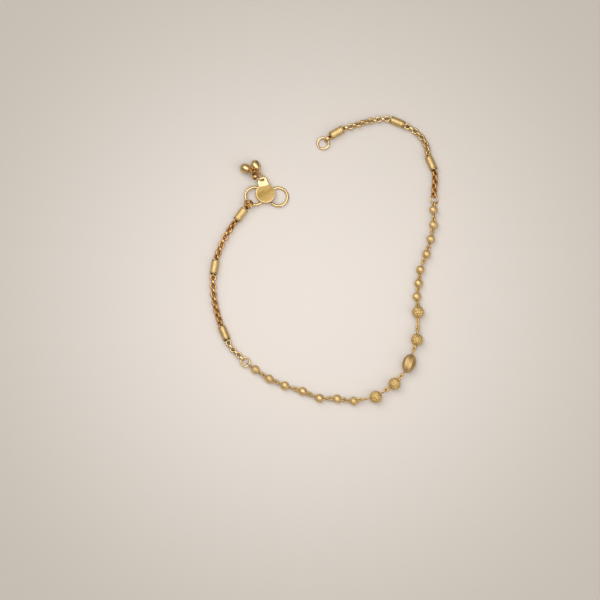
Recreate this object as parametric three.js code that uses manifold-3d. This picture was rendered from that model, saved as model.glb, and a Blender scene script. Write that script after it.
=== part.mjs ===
// A gold-plated brass anklet of beads and chain, unfastened and lying open on a level surface.
// Millimetres, with Z up. The origin is the middle of the footprint, at the height of the surface.
// Along the strand, a roll of 0 degrees lies flat and a roll of 90 degrees stands on edge.

import * as THREE from 'three';
import { mergeVertices } from 'three/addons/utils/BufferGeometryUtils.js';
import Module from 'manifold-3d';

const wasm = await Module();
wasm.setup();

// Gaps between pieces that hook into each other, and the sides of a wire's section
const PLAY = 0.1;
const WIRE_SIDES = 5;

// Beads are round about the strand, and half lengths run along it
const SMALL_BEAD = { radius: 1.5, halfLength: 1.58, sides: 10, bands: 5, nose: 0 };
const BALL = { radius: 2.15, halfLength: 2.15, sides: 12, bands: 6, nose: 0 };
const OVAL = { radius: 2.3, halfLength: 3.45, sides: 12, bands: 7, nose: 2 };
const BEAD_EYE = { wire: 0.42, width: 1.56 };
const EYE_ROOT = 0.7;
const EYE_BENDS = 3;

// Open-ended tube beads, closed by a wall in the middle that holds their wire eyes
const TUBE = { radius: 1.4, bore: 1.17, length: 4.95, depth: 1.7, sides: 10, roll: 15 };
const TUBE_EYE = { wire: 0.42, width: 1.84, reach: 1.4, root: 0.3 };
const LAST_EYE_REACH = 1.3;

// Round links of a band that is thickest along its middle
const LINK = { radius: 1.22, thickness: 0.44, width: 0.75, pitch: 1.53, segments: 10 };
const LINK_WIRE_RADIUS = LINK.radius - LINK.thickness / 2;
const LINK_INSET = 0.15;
const LINK_HEIGHT = 1.32;
const CHAIN_PULL = 0.36;

// Plain round rings
const CONNECTOR = { radius: 1.9, wire: 0.62, segments: 10 };
const END_RING = { radius: 2.35, wire: 0.77, segments: 12 };
const CLASP_RING = { radius: 1.72, wire: 0.54, segments: 10 };
const DROP_RING = { radius: 1.95, wire: 0.5, segments: 10 };
const END_LINK_SCALE = 1.08;

// The hook is one S-bent wire under a disc. Angles run anticlockwise from its right, and its
// frame has its origin in the wire's plane, under the middle of the disc.
const HOOK_WIRE = 1;
const HOOK_PLACE = { x: -20.45, y: 23.75, z: 0.96, liftFront: 2.2, liftLeft: 3.2 };
const OPEN_LOOP = { x: 4.53, y: -0.93, radius: 3.27, from: -131, to: 141, steps: 11 };
const FIXED_LOOP = { x: -3.73, y: -0.77, radius: 3.22, from: 321, to: 60, steps: 11 };
const DISC = { radius: 3.5, chamfer: 0.2, underside: 0.28, top: 1.38, sides: 20 };
const TAB = { heading: 102, start: 2.5, length: 3.5, base: 4.3, width: 3.1, thickness: 0.6, corner: 1.2 };
const TAB_MOUNT = { height: 0.8, rise: 8 };
const TAB_SLOT = { middle: 2.4, length: 1.7, width: 1 };

// The ring between the fixed loop and the first tube
const CLASP_JOINT = { loopAngle: 238, ringRoll: 46, eyeRoll: -40 };

// Small hollow bells with a slit mouth, and how each drop piece hooks on the one before: the
// angle round the carrier's wire, and the swing about that wire
const BELL = { radius: 1.72, halfLength: 2, sides: 10, bands: 5 };
const BELL_HOLLOW = { radius: 1.46, halfLength: 1.74, sides: 8, bands: 4 };
const BELL_SLIT = { start: 0.6, width: 0.36 };
const BELL_EYE = { wire: 0.4, width: 1.7, reach: 1.22, root: 0.5, grip: 0.64 };
const DROP_RING_PLACE = { heading: 127, roll: 42 };
const DROP_LINK_1 = { angle: 34, swing: 8 };
const DROP_LINK_2 = { angle: 5, swing: 6, out: 0.36 };
const DROP_LINK_3 = { angle: 79, swing: -7 };
const BELL_1 = { angle: 30, swing: 65 };
const BELL_2 = { angle: -14, swing: 13 };

// Tubes in order along the strand: the middle of each and the heading of its axis
const TUBES = [
  { name: 'tube_1', x: -29.1, y: 16.3, heading: -126 },
  { name: 'tube_2', x: -38.2, y: -2.55, heading: -99.7 },
  { name: 'tube_3', x: -34.8, y: -26.1, heading: -67.4 },
  { name: 'tube_4', x: 37.7, y: 34.7, heading: 113.4 },
  { name: 'tube_5', x: 25.9, y: 49.5, heading: 156.7 },
  { name: 'tube_6', x: 4.6, y: 45.8, heading: -149.4 },
];

// The string of beads between the connector rings. A roll is that of the eye towards the next
// piece, and share is how much of the length of the two joined eyes belongs to this bead.
const FIRST_CONNECTOR = {
  name: 'connector_ring_1', x: -27.4, y: -36.4, z: 1.28, roll: 8, heading: -50,
};
const BEADS = [
  { name: 'bead_l1', kind: SMALL_BEAD, x: -23.9, y: -39.1, roll: 80, share: 0.5 },
  { name: 'bead_l2', kind: SMALL_BEAD, x: -19.05, y: -42.45, roll: 0, share: 0.5 },
  { name: 'bead_l3', kind: SMALL_BEAD, x: -13.6, y: -44.85, roll: 84, share: 0.5 },
  { name: 'bead_l4', kind: SMALL_BEAD, x: -7.35, y: -46.9, roll: 5, share: 0.5 },
  { name: 'bead_l5', kind: SMALL_BEAD, x: -1.5, y: -49.3, roll: 90, share: 0.5 },
  { name: 'bead_l6', kind: SMALL_BEAD, x: 4.7, y: -49.55, roll: -4, share: 0.5 },
  { name: 'bead_l7', kind: SMALL_BEAD, x: 10.45, y: -50.35, roll: 0, share: 0.32 },
  { name: 'ball_1', kind: BALL, x: 18.15, y: -49.0, roll: 90, share: 0.5 },
  { name: 'ball_2', kind: BALL, x: 24.7, y: -44.35, roll: 5, share: 0.5 },
  { name: 'oval_bead', kind: OVAL, x: 29.8, y: -37.1, roll: 90, share: 0.5, heading: 71.2 },
  { name: 'ball_3', kind: BALL, x: 32.6, y: -28.6, roll: 90, share: 0.27 },
  { name: 'ball_4', kind: BALL, x: 33.0, y: -18.8, roll: 0, share: 0.5 },
  { name: 'bead_r1', kind: SMALL_BEAD, x: 32.6, y: -13.15, roll: 86, share: 0.5 },
  { name: 'bead_r2', kind: SMALL_BEAD, x: 33.2, y: -8.35, roll: 0, share: 0.5 },
  { name: 'bead_r3', kind: SMALL_BEAD, x: 33.85, y: -3.55, roll: 94, share: 0.5 },
  { name: 'bead_r4', kind: SMALL_BEAD, x: 35.95, y: 2.05, roll: 5, share: 0.5 },
  { name: 'bead_r5', kind: SMALL_BEAD, x: 37.5, y: 7.4, roll: 90, share: 0.5 },
  { name: 'bead_r6', kind: SMALL_BEAD, x: 38.5, y: 12.55, roll: -5, share: 0.5 },
  { name: 'bead_r7', kind: SMALL_BEAD, x: 38.5, y: 17.9, roll: 0, share: 1 },
];
const SECOND_CONNECTOR = {
  name: 'connector_ring_2', x: 38.7, y: 21.65, z: 1.32, roll: 40, heading: 90,
};

// Chain runs: the heading and roll at the first link and at the last
const CHAINS = [
  { name: 'chain_1', from: 'tube_1', to: 'tube_2', headings: [-126, -108], rolls: [45, 50] },
  { name: 'chain_2', from: 'tube_2', to: 'tube_3', headings: [-92, -72], rolls: [0, 50] },
  { name: 'chain_3', from: 'tube_3', to: 'connector_ring_1', headings: [-66, -48], rolls: [0, 98] },
  { name: 'chain_4', from: 'connector_ring_2', to: 'tube_4', headings: [90, 96], rolls: [130, 45] },
  { name: 'chain_5', from: 'tube_4', to: 'tube_5', headings: [93, 153], rolls: [45, 0] },
  { name: 'chain_6', from: 'tube_5', to: 'tube_6', headings: [178, 194], rolls: [0, 90] },
];

// The ring that the hook fastens into, past the last tube: its heading from the tube's mouth,
// and how high its wire is held where the end link carries it
const END_RING_PLACE = { heading: -136, out: 1.38, held: 1.15 };

const GOLD = { color: 0xd9ab4e, roughness: 0.28, metalness: 1 };
const SATIN_GOLD = { color: 0xd8b062, roughness: 0.42, metalness: 1 };
const COPPERY_GOLD = { color: 0xcf9343, roughness: 0.25, metalness: 1 };

const UP = new THREE.Vector3(0, 0, 1);

function radians(degrees) {
  return THREE.MathUtils.degToRad(degrees);
}

function headingVector(degrees) {
  return new THREE.Vector3(Math.cos(radians(degrees)), Math.sin(radians(degrees)), 0);
}

// The frame of a piece on the strand: X runs along it, and the piece is flat in X and Y
function strandFrame(position, direction, roll) {
  const along = direction.clone().normalize();
  const left = UP.clone().cross(along).normalize();
  const lifted = along.clone().cross(left);
  const across = left.multiplyScalar(Math.cos(radians(roll)));
  across.addScaledVector(lifted, Math.sin(radians(roll)));
  const normal = along.clone().cross(across);
  return new THREE.Matrix4().makeBasis(along, across, normal).setPosition(position);
}

// A path that runs straight from station to station, with one extrusion step for each
class BentWire extends THREE.Curve {
  constructor(stations) {
    super();
    this.stations = stations;
  }

  getPoint(t, target = new THREE.Vector3()) {
    const span = t * (this.stations.length - 1);
    const index = Math.min(Math.floor(span), this.stations.length - 2);
    return target.lerpVectors(this.stations[index], this.stations[index + 1], span - index);
  }

  getPointAt(u, target) {
    return this.getPoint(u, target);
  }

  getTangentAt(u, target) {
    return this.getTangent(u, target);
  }
}

// Stations on an arc in the XY plane
function arcStations(x, y, radius, from, to, steps) {
  const angles = Array.from({ length: steps + 1 }, (_, i) => radians(from + ((to - from) * i) / steps));
  return angles.map((a) => new THREE.Vector3(x + radius * Math.cos(a), y + radius * Math.sin(a), 0));
}

function wireGeometry(stations, diameter, sides) {
  const angles = Array.from({ length: sides }, (_, i) => (2 * Math.PI * (i + 0.5)) / sides);
  const radius = diameter / 2;
  const section = new THREE.Shape(
    angles.map((a) => new THREE.Vector2(radius * Math.cos(a), radius * Math.sin(a))),
  );
  return new THREE.ExtrudeGeometry(section, {
    steps: stations.length - 1,
    bevelEnabled: false,
    extrudePath: new BentWire(stations),
  });
}

// A closed solid ready for joining: bare positions, welded, with no collapsed triangles
function solidOf(geometry) {
  const bare = new THREE.BufferGeometry();
  bare.setAttribute('position', geometry.getAttribute('position').clone());
  if (geometry.index) {
    bare.setIndex(geometry.index.clone());
  }
  const welded = mergeVertices(bare, 1e-4);
  const corners = Array.from(welded.index.array);
  const kept = [];
  for (let i = 0; i < corners.length; i += 3) {
    const [a, b, c] = corners.slice(i, i + 3);
    if (a !== b && b !== c && c !== a) {
      kept.push(a, b, c);
    }
  }
  return new wasm.Manifold(
    new wasm.Mesh({
      numProp: 3,
      vertProperties: new Float32Array(welded.getAttribute('position').array),
      triVerts: new Uint32Array(kept),
    }),
  );
}

function geometryOf(solid) {
  const mesh = solid.getMesh();
  const geometry = new THREE.BufferGeometry();
  geometry.setAttribute('position', new THREE.BufferAttribute(mesh.vertProperties, 3));
  geometry.setIndex(new THREE.BufferAttribute(mesh.triVerts, 1));
  geometry.computeVertexNormals();
  return geometry;
}

function fuse(geometries) {
  const joined = geometries.map(solidOf).reduce((whole, next) => whole.add(next));
  return geometryOf(joined);
}

// A ring about Z with the given section, whose points are distances out and heights
function ringGeometry(section, segments) {
  const closed = [...section, section[0]].map(([out, height]) => new THREE.Vector2(out, height));
  return new THREE.LatheGeometry(closed, segments).rotateX(Math.PI / 2);
}

function linkGeometry() {
  const inner = LINK.radius - LINK.thickness;
  const edge = LINK.radius - LINK.thickness * 0.6;
  const section = [
    [inner, 0],
    [edge, -LINK.width / 2],
    [LINK.radius, -LINK.width * 0.24],
    [LINK.radius, LINK.width * 0.24],
    [edge, LINK.width / 2],
  ];
  return ringGeometry(section, LINK.segments);
}

function roundRingGeometry(ring) {
  const middle = ring.radius - ring.wire / 2;
  const section = Array.from({ length: WIRE_SIDES }, (_, i) => {
    const angle = (2 * Math.PI * i) / WIRE_SIDES;
    return [middle + (ring.wire / 2) * Math.cos(angle), (ring.wire / 2) * Math.sin(angle)];
  });
  return ringGeometry(section, ring.segments);
}

// How far out a ring's hole is clear, at the middle of its straight sides
function clearHole(radius, segments) {
  return radius * Math.cos(Math.PI / segments);
}

// A bead about X. Its nose is how far the curve's middle stands from the middle of the bead.
function beadGeometry(kind) {
  const profile = Array.from({ length: kind.bands + 1 }, (_, i) => {
    const angle = Math.PI * (i / kind.bands - 0.5);
    return new THREE.Vector2(kind.radius * Math.cos(angle), kind.halfLength * Math.sin(angle));
  });
  profile[0].x = 0;
  profile[kind.bands].x = 0;
  return new THREE.LatheGeometry(profile, kind.sides).rotateZ(-Math.PI / 2);
}

// A hairpin of wire in the XY plane: both legs start at root, and its bend reaches tip
function hairpinGeometry(eye, root, tip) {
  const half = (eye.width - eye.wire) / 2;
  const bend = tip - eye.wire / 2 - half;
  const stations = [
    new THREE.Vector3(root, -half, 0),
    ...arcStations(bend, 0, half, -90, 90, EYE_BENDS),
    new THREE.Vector3(root, half, 0),
  ];
  return wireGeometry(stations, eye.wire, WIRE_SIDES);
}

function tubeGeometry() {
  const end = TUBE.length / 2;
  const wall = end - TUBE.depth;
  const profile = [
    [0, -wall],
    [TUBE.bore, -wall],
    [TUBE.bore, -end],
    [TUBE.radius, -end],
    [TUBE.radius, end],
    [TUBE.bore, end],
    [TUBE.bore, wall],
    [0, wall],
  ].map(([out, along]) => new THREE.Vector2(out, along));
  return new THREE.LatheGeometry(profile, TUBE.sides).rotateZ(-Math.PI / 2);
}

const anklet = new THREE.Group();

function addMesh(name, geometry, finish, matrix = new THREE.Matrix4()) {
  const mesh = new THREE.Mesh(geometry, new THREE.MeshStandardMaterial(finish));
  mesh.name = name;
  matrix.decompose(mesh.position, mesh.quaternion, mesh.scale);
  anklet.add(mesh);
  return mesh;
}

// What each piece offers its neighbours: an anchor point, how far the piece reaches from it
// towards a neighbour, and the thickness of wire that a neighbour's eye has to pass round
function beadEnd(bead, side) {
  const anchor = new THREE.Vector3(bead.x, bead.y, bead.kind.radius);
  const axis = headingVector(bead.heading ?? 0);
  anchor.addScaledVector(axis, side * bead.kind.nose);
  return { anchor, reach: bead.kind.halfLength - bead.kind.nose };
}

function ringEnd(place, ring) {
  return { anchor: new THREE.Vector3(place.x, place.y, place.z), reach: ring.radius };
}

function eyeAt(end, target, length, roll, eye) {
  const direction = target.clone().sub(end.anchor);
  const frame = strandFrame(end.anchor, direction, roll);
  return hairpinGeometry(eye, end.reach - EYE_ROOT, end.reach + length).applyMatrix4(frame);
}

// The string of beads, each with a wire eye at both ends that hooks into its neighbour's
function addBeads() {
  const eyes = BEADS.map(() => []);
  const opening = ringEnd(FIRST_CONNECTOR, CONNECTOR);
  const closing = ringEnd(SECOND_CONNECTOR, CONNECTOR);
  const wire = BEAD_EYE.wire;
  const first = beadEnd(BEADS[0], -1);
  const firstGap = first.anchor.distanceTo(opening.anchor) - first.reach - opening.reach;
  const onRing = wire + CONNECTOR.wire + PLAY;
  const firstRoll = 90 - FIRST_CONNECTOR.roll;
  eyes[0].push(eyeAt(first, opening.anchor, firstGap + onRing, firstRoll, BEAD_EYE));
  for (let i = 0; i + 1 < BEADS.length; i += 1) {
    const near = beadEnd(BEADS[i], 1);
    const far = beadEnd(BEADS[i + 1], -1);
    const gap = near.anchor.distanceTo(far.anchor) - near.reach - far.reach;
    const both = gap + 2 * wire + PLAY;
    const share = BEADS[i].share;
    eyes[i].push(eyeAt(near, far.anchor, both * share, BEADS[i].roll, BEAD_EYE));
    eyes[i + 1].push(eyeAt(far, near.anchor, both * (1 - share), 90 - BEADS[i].roll, BEAD_EYE));
  }
  const last = beadEnd(BEADS.at(-1), 1);
  const lastGap = last.anchor.distanceTo(closing.anchor) - last.reach - closing.reach;
  const lastRoll = SECOND_CONNECTOR.roll + 90;
  eyes.at(-1).push(eyeAt(last, closing.anchor, lastGap + onRing, lastRoll, BEAD_EYE));
  const places = [FIRST_CONNECTOR, ...BEADS, SECOND_CONNECTOR];
  BEADS.forEach((bead, i) => {
    const heading = bead.heading ?? headingBetween(places[i], places[i + 2]);
    const centre = new THREE.Vector3(bead.x, bead.y, bead.kind.radius);
    const frame = strandFrame(centre, headingVector(heading), 0);
    const body = beadGeometry(bead.kind).applyMatrix4(frame);
    const toCentre = new THREE.Matrix4().makeTranslation(centre.clone().negate());
    const geometry = fuse([body, ...eyes[i]]).applyMatrix4(toCentre);
    const finish = bead.kind === SMALL_BEAD ? SATIN_GOLD : GOLD;
    addMesh(bead.name, geometry, finish, new THREE.Matrix4().setPosition(centre));
  });
}

function headingBetween(before, after) {
  return THREE.MathUtils.radToDeg(Math.atan2(after.y - before.y, after.x - before.x));
}

function addConnectors() {
  for (const place of [FIRST_CONNECTOR, SECOND_CONNECTOR]) {
    const centre = new THREE.Vector3(place.x, place.y, place.z);
    const frame = strandFrame(centre, headingVector(place.heading), place.roll);
    addMesh(place.name, roundRingGeometry(CONNECTOR), GOLD, frame);
  }
}

// Where a chain run starts or ends: the middle of its outermost link
function tubeMouth(tube, heading, side) {
  const middle = new THREE.Vector3(tube.x, tube.y, LINK_HEIGHT);
  const toWire = TUBE.length / 2 + LINK_INSET + LINK.thickness / 2;
  middle.addScaledVector(headingVector(tube.heading), side * toWire);
  return middle.addScaledVector(headingVector(heading), side * LINK_WIRE_RADIUS);
}

function ringMouth(place, heading, side) {
  const middle = new THREE.Vector3(place.x, place.y, LINK_HEIGHT);
  const hole = clearHole(CONNECTOR.radius - CONNECTOR.wire, CONNECTOR.segments);
  const out = side * (hole + LINK.radius - LINK.thickness - PLAY);
  return middle.addScaledVector(headingVector(heading), out);
}

function chainMouth(name, heading, side) {
  const tube = TUBES.find((row) => row.name === name);
  if (tube) {
    return tubeMouth(tube, heading, side);
  }
  const place = [FIRST_CONNECTOR, SECOND_CONNECTOR].find((row) => row.name === name);
  return ringMouth(place, heading, side);
}

function chainRoute(chain) {
  const start = chainMouth(chain.from, chain.headings[0], 1);
  const end = chainMouth(chain.to, chain.headings[1], -1);
  const pull = start.distanceTo(end) * CHAIN_PULL;
  return new THREE.CubicBezierCurve3(
    start,
    start.clone().addScaledVector(headingVector(chain.headings[0]), pull),
    end.clone().addScaledVector(headingVector(chain.headings[1]), -pull),
    end,
  );
}

function addChains() {
  for (const chain of CHAINS) {
    const route = chainRoute(chain);
    const [startRoll, endRoll] = chain.rolls;
    const steps = Math.round(route.getLength() / LINK.pitch);
    const unwound = endRoll - startRoll - 90 * steps;
    const twist = unwound - 180 * Math.round(unwound / 180);
    const fit = route.getLength() / steps / LINK.pitch;
    const links = [];
    for (let i = 0; i <= steps; i += 1) {
      const share = i / steps;
      const roll = startRoll + 90 * i + twist * share;
      const frame = strandFrame(route.getPointAt(share), route.getTangentAt(share), roll);
      links.push(linkGeometry().scale(fit, fit, fit).applyMatrix4(frame));
    }
    addMesh(chain.name, fuse(links), COPPERY_GOLD);
  }
}

// A tube's eye stands across the chain link that it carries. Seen the other way along the
// strand, a roll has the opposite sign.
function tubeEyeRoll(chain, side) {
  return side > 0 ? chain.rolls[0] + 90 : 90 - chain.rolls[1];
}

// A tube's eye points from its mouth towards a target
function tubeEye(tube, side, target, reach, roll) {
  const middle = new THREE.Vector3(tube.x, tube.y, TUBE.radius);
  const anchor = middle.addScaledVector(headingVector(tube.heading), side * (TUBE.length / 2));
  const frame = strandFrame(anchor, target.clone().sub(anchor), roll);
  return hairpinGeometry(TUBE_EYE, -TUBE.depth - TUBE_EYE.root, reach).applyMatrix4(frame);
}

function addTube(tube, eyes) {
  const centre = new THREE.Vector3(tube.x, tube.y, TUBE.radius);
  const frame = strandFrame(centre, headingVector(tube.heading), TUBE.roll);
  const body = tubeGeometry().applyMatrix4(frame);
  const back = new THREE.Matrix4().makeTranslation(centre.clone().negate());
  const geometry = fuse([body, ...eyes]).applyMatrix4(back);
  addMesh(tube.name, geometry, GOLD, new THREE.Matrix4().setPosition(centre));
}

function tubeMiddle(tube, side, out) {
  const middle = new THREE.Vector3(tube.x, tube.y, TUBE.radius);
  return middle.addScaledVector(headingVector(tube.heading), side * out);
}

// An end of a tube carries a chain, the clasp ring or the end link
function addTubes(claspTarget, endTarget) {
  for (const tube of TUBES) {
    const eyes = [-1, 1].map((side) => {
      const chain = CHAINS.find((row) => (side > 0 ? row.from : row.to) === tube.name);
      if (chain) {
        const target = tubeMiddle(tube, side, TUBE.length);
        return tubeEye(tube, side, target, TUBE_EYE.reach, tubeEyeRoll(chain, side));
      }
      const end = side < 0 ? claspTarget : endTarget;
      return tubeEye(tube, side, end.point, end.reach, end.roll);
    });
    addTube(tube, eyes);
  }
}

function hookFrame() {
  const { x, y, z, liftFront, liftLeft } = HOOK_PLACE;
  const tilt = new THREE.Euler(radians(-liftFront), radians(liftLeft), 0);
  return new THREE.Matrix4().makeRotationFromEuler(tilt).setPosition(x, y, z);
}

function discGeometry() {
  const { radius, chamfer, underside, top, sides } = DISC;
  const profile = [
    [0, underside],
    [radius - chamfer, underside],
    [radius, underside + chamfer],
    [radius, top - chamfer],
    [radius - chamfer, top],
    [0, top],
  ].map(([out, height]) => new THREE.Vector2(out, height));
  return new THREE.LatheGeometry(profile, sides).rotateX(Math.PI / 2);
}

// The tab rises outwards from the disc's edge, and its slot lies across it. Its near end is
// trimmed square to the disc, so that nothing leans over the disc's face.
function tabFrame() {
  const frame = new THREE.Matrix4().makeRotationZ(radians(TAB.heading));
  frame.multiply(new THREE.Matrix4().makeTranslation(TAB.start, 0, TAB_MOUNT.height));
  return frame.multiply(new THREE.Matrix4().makeRotationY(radians(-TAB_MOUNT.rise)));
}

function tabGeometry() {
  const half = TAB.width / 2;
  const bend = TAB.length - TAB.corner;
  const shape = new THREE.Shape();
  shape.moveTo(0, -TAB.base / 2);
  shape.lineTo(bend, -half);
  shape.absarc(bend, -half + TAB.corner, TAB.corner, -Math.PI / 2, 0);
  shape.absarc(bend, half - TAB.corner, TAB.corner, 0, Math.PI / 2);
  shape.lineTo(0, TAB.base / 2);
  const slot = new THREE.Path();
  slot.moveTo(TAB_SLOT.middle - TAB_SLOT.width / 2, -TAB_SLOT.length / 2);
  slot.lineTo(TAB_SLOT.middle - TAB_SLOT.width / 2, TAB_SLOT.length / 2);
  slot.lineTo(TAB_SLOT.middle + TAB_SLOT.width / 2, TAB_SLOT.length / 2);
  slot.lineTo(TAB_SLOT.middle + TAB_SLOT.width / 2, -TAB_SLOT.length / 2);
  shape.holes.push(slot);
  const options = { depth: TAB.thickness, bevelEnabled: false, curveSegments: 3 };
  const plate = new THREE.ExtrudeGeometry(shape, options).applyMatrix4(tabFrame());
  const outwards = headingVector(TAB.heading).toArray();
  return geometryOf(solidOf(plate).trimByPlane(outwards, TAB.start));
}

// Wire, disc and tab are soldered together, so they are one solid
function addHook() {
  const loops = [OPEN_LOOP, FIXED_LOOP].map((loop) =>
    arcStations(loop.x, loop.y, loop.radius, loop.from, loop.to, loop.steps),
  );
  const wire = wireGeometry(loops.flat(), HOOK_WIRE, WIRE_SIDES);
  addMesh('hook', fuse([wire, discGeometry(), tabGeometry()]), SATIN_GOLD, hookFrame());
}

// The ring that joins the hook's fixed loop to the first tube's eye, and where that eye ends
function addClaspRing() {
  const [onLoop] = arcStations(
    FIXED_LOOP.x, FIXED_LOOP.y, FIXED_LOOP.radius, CLASP_JOINT.loopAngle, 0, 1,
  );
  onLoop.applyMatrix4(hookFrame());
  const mouth = tubeMiddle(TUBES[0], -1, TUBE.length / 2);
  const way = mouth.clone().sub(onLoop);
  const hole = clearHole(CLASP_RING.radius - CLASP_RING.wire, CLASP_RING.segments);
  const toLoop = hole - HOOK_WIRE / 2 - PLAY;
  const toEye = hole - TUBE_EYE.wire / 2 - PLAY;
  const reach = way.length() - toLoop - toEye + TUBE_EYE.wire / 2;
  const centre = onLoop.clone().addScaledVector(way.normalize(), toLoop);
  const frame = strandFrame(centre, way, CLASP_JOINT.ringRoll);
  addMesh('clasp_ring', roundRingGeometry(CLASP_RING), GOLD, frame);
  return { point: onLoop, reach, roll: -CLASP_JOINT.eyeRoll };
}

// The last link stands on edge in the last tube's eye and carries the end ring
function addEndRing() {
  const mouth = tubeMiddle(TUBES.at(-1), 1, TUBE.length / 2);
  const away = headingVector(END_RING_PLACE.heading);
  const radius = LINK.radius * END_LINK_SCALE;
  const middle = mouth.clone().addScaledVector(away, LINK_INSET + radius).setZ(radius);
  const link = linkGeometry().scale(END_LINK_SCALE, END_LINK_SCALE, END_LINK_SCALE);
  addMesh('end_link', link, COPPERY_GOLD, strandFrame(middle, away, 90));
  const held = mouth.clone().addScaledVector(away, END_RING_PLACE.out + END_RING.wire / 2);
  held.z = END_RING_PLACE.held;
  const across = 2 * END_RING.radius - END_RING.wire;
  const slope = away.clone().setZ(-(held.z - END_RING.wire / 2) / across).normalize();
  const centre = held.addScaledVector(slope, across / 2);
  addMesh('end_ring', roundRingGeometry(END_RING), GOLD, strandFrame(centre, slope, 0));
  return { point: middle.setZ(TUBE.radius), reach: LAST_EYE_REACH, roll: 0 };
}

// The frame of a piece hooked on a ring's wire: X points away from the ring and Z lies along
// its wire, with the origin in the middle of the wire
function hookedFrame(carrier, wireRadius, place) {
  const steps = [
    new THREE.Matrix4().makeRotationZ(radians(place.angle)),
    new THREE.Matrix4().makeTranslation(wireRadius, 0, 0),
    new THREE.Matrix4().makeRotationX(Math.PI / 2),
    new THREE.Matrix4().makeRotationZ(radians(place.swing)),
  ];
  return steps.reduce((frame, step) => frame.multiply(step), carrier.clone());
}

function shifted(frame, distance) {
  return frame.clone().multiply(new THREE.Matrix4().makeTranslation(distance, 0, 0));
}

// A bell about X with its slit mouth at the far end and its eye at the near one
function bellGeometry() {
  const outer = solidOf(beadGeometry(BELL));
  const hollow = beadGeometry(BELL_HOLLOW);
  const slit = new THREE.BoxGeometry(BELL.halfLength, 2 * BELL.radius + 1, BELL_SLIT.width);
  slit.translate(BELL_SLIT.start + BELL.halfLength / 2, 0, 0);
  const root = BELL.halfLength - BELL_EYE.root;
  const eye = hairpinGeometry(BELL_EYE, root, BELL.halfLength + BELL_EYE.reach);
  eye.rotateZ(Math.PI);
  const shell = outer.subtract(solidOf(hollow)).subtract(solidOf(slit));
  return geometryOf(shell.add(solidOf(eye)));
}

// The drops: a ring through the tab's slot, three small links and the two bells
function addDrops() {
  const slot = new THREE.Vector3(TAB_SLOT.middle, 0, TAB.thickness / 2);
  slot.applyMatrix4(tabFrame()).applyMatrix4(hookFrame());
  const ringWire = DROP_RING.radius - DROP_RING.wire / 2;
  const away = headingVector(DROP_RING_PLACE.heading);
  const centre = slot.addScaledVector(away, ringWire);
  const ring = strandFrame(centre, away, DROP_RING_PLACE.roll);
  addMesh('drop_ring', roundRingGeometry(DROP_RING), GOLD, ring);

  const linkHole = clearHole(LINK.radius - LINK.thickness, LINK.segments);
  const hang = linkHole - DROP_RING.wire / 2 - PLAY;
  const first = shifted(hookedFrame(ring, ringWire, DROP_LINK_1), hang);
  const second = shifted(hookedFrame(first, LINK_WIRE_RADIUS, DROP_LINK_2), DROP_LINK_2.out);
  const third = shifted(hookedFrame(ring, ringWire, DROP_LINK_3), hang);
  [first, second, third].forEach((frame, i) => {
    addMesh(`drop_link_${i + 1}`, linkGeometry(), COPPERY_GOLD, frame);
  });

  const bellOut = BELL.halfLength + BELL_EYE.reach - BELL_EYE.wire / 2 - BELL_EYE.grip;
  const firstBell = shifted(hookedFrame(second, LINK_WIRE_RADIUS, BELL_1), bellOut);
  const secondBell = shifted(hookedFrame(ring, ringWire, BELL_2), bellOut);
  addMesh('bell_1', bellGeometry(), GOLD, firstBell);
  addMesh('bell_2', bellGeometry(), GOLD, secondBell);
}

addHook();
addDrops();
const claspTarget = addClaspRing();
const endTarget = addEndRing();
addTubes(claspTarget, endTarget);
addChains();
addConnectors();
addBeads();

export default anklet;
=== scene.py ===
"""A gold-plated beaded anklet, unfastened and lying open on a plain pale floor.

Sizes are in millimetres and headings in degrees, as a jeweller would note them, but the studio's
are in metres. Every mesh is scaled to metres when it is made. Z is up. Along the strand, a roll of
0 degrees lies flat and a roll of 90 degrees stands on edge. A piece's side is -1 towards the
strand's start, at the clasp, and 1 towards its end.
"""

from __future__ import annotations

import logging
from dataclasses import dataclass, replace
from enum import Enum
from functools import cache

import bpy
import numpy as np
import numpy.typing as npt
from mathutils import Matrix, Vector

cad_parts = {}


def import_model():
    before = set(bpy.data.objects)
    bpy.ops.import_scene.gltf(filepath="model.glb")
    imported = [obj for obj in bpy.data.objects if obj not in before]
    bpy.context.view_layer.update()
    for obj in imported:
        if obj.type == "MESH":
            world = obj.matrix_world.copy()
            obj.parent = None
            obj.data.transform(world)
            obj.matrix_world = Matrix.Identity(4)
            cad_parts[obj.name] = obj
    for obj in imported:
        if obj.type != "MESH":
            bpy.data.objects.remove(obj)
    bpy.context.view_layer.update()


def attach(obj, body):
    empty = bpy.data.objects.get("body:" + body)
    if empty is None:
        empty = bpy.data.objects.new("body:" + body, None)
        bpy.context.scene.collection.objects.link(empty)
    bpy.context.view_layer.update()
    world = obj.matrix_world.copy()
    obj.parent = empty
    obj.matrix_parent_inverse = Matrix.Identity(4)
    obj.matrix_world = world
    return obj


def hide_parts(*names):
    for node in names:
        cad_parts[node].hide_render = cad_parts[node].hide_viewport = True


Floats = npt.NDArray[np.float64]
Integers = npt.NDArray[np.int64]
Row = tuple[float, ...]
Tree = bpy.types.NodeTree
Socket = bpy.types.NodeSocket

LOG = logging.getLogger("anklet")
MM = 0.001
TAU = 2 * np.pi


# Frames


def unit(vector: Floats) -> Floats:
    """Return a vector, or each row of several, at length one."""
    return vector / np.linalg.norm(vector, axis=-1, keepdims=True)


def heading_vector(degrees: float) -> Floats:
    """Return the level unit vector at an angle anticlockwise from +X."""
    angle = np.radians(degrees)
    return np.array([np.cos(angle), np.sin(angle), 0.0])


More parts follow.
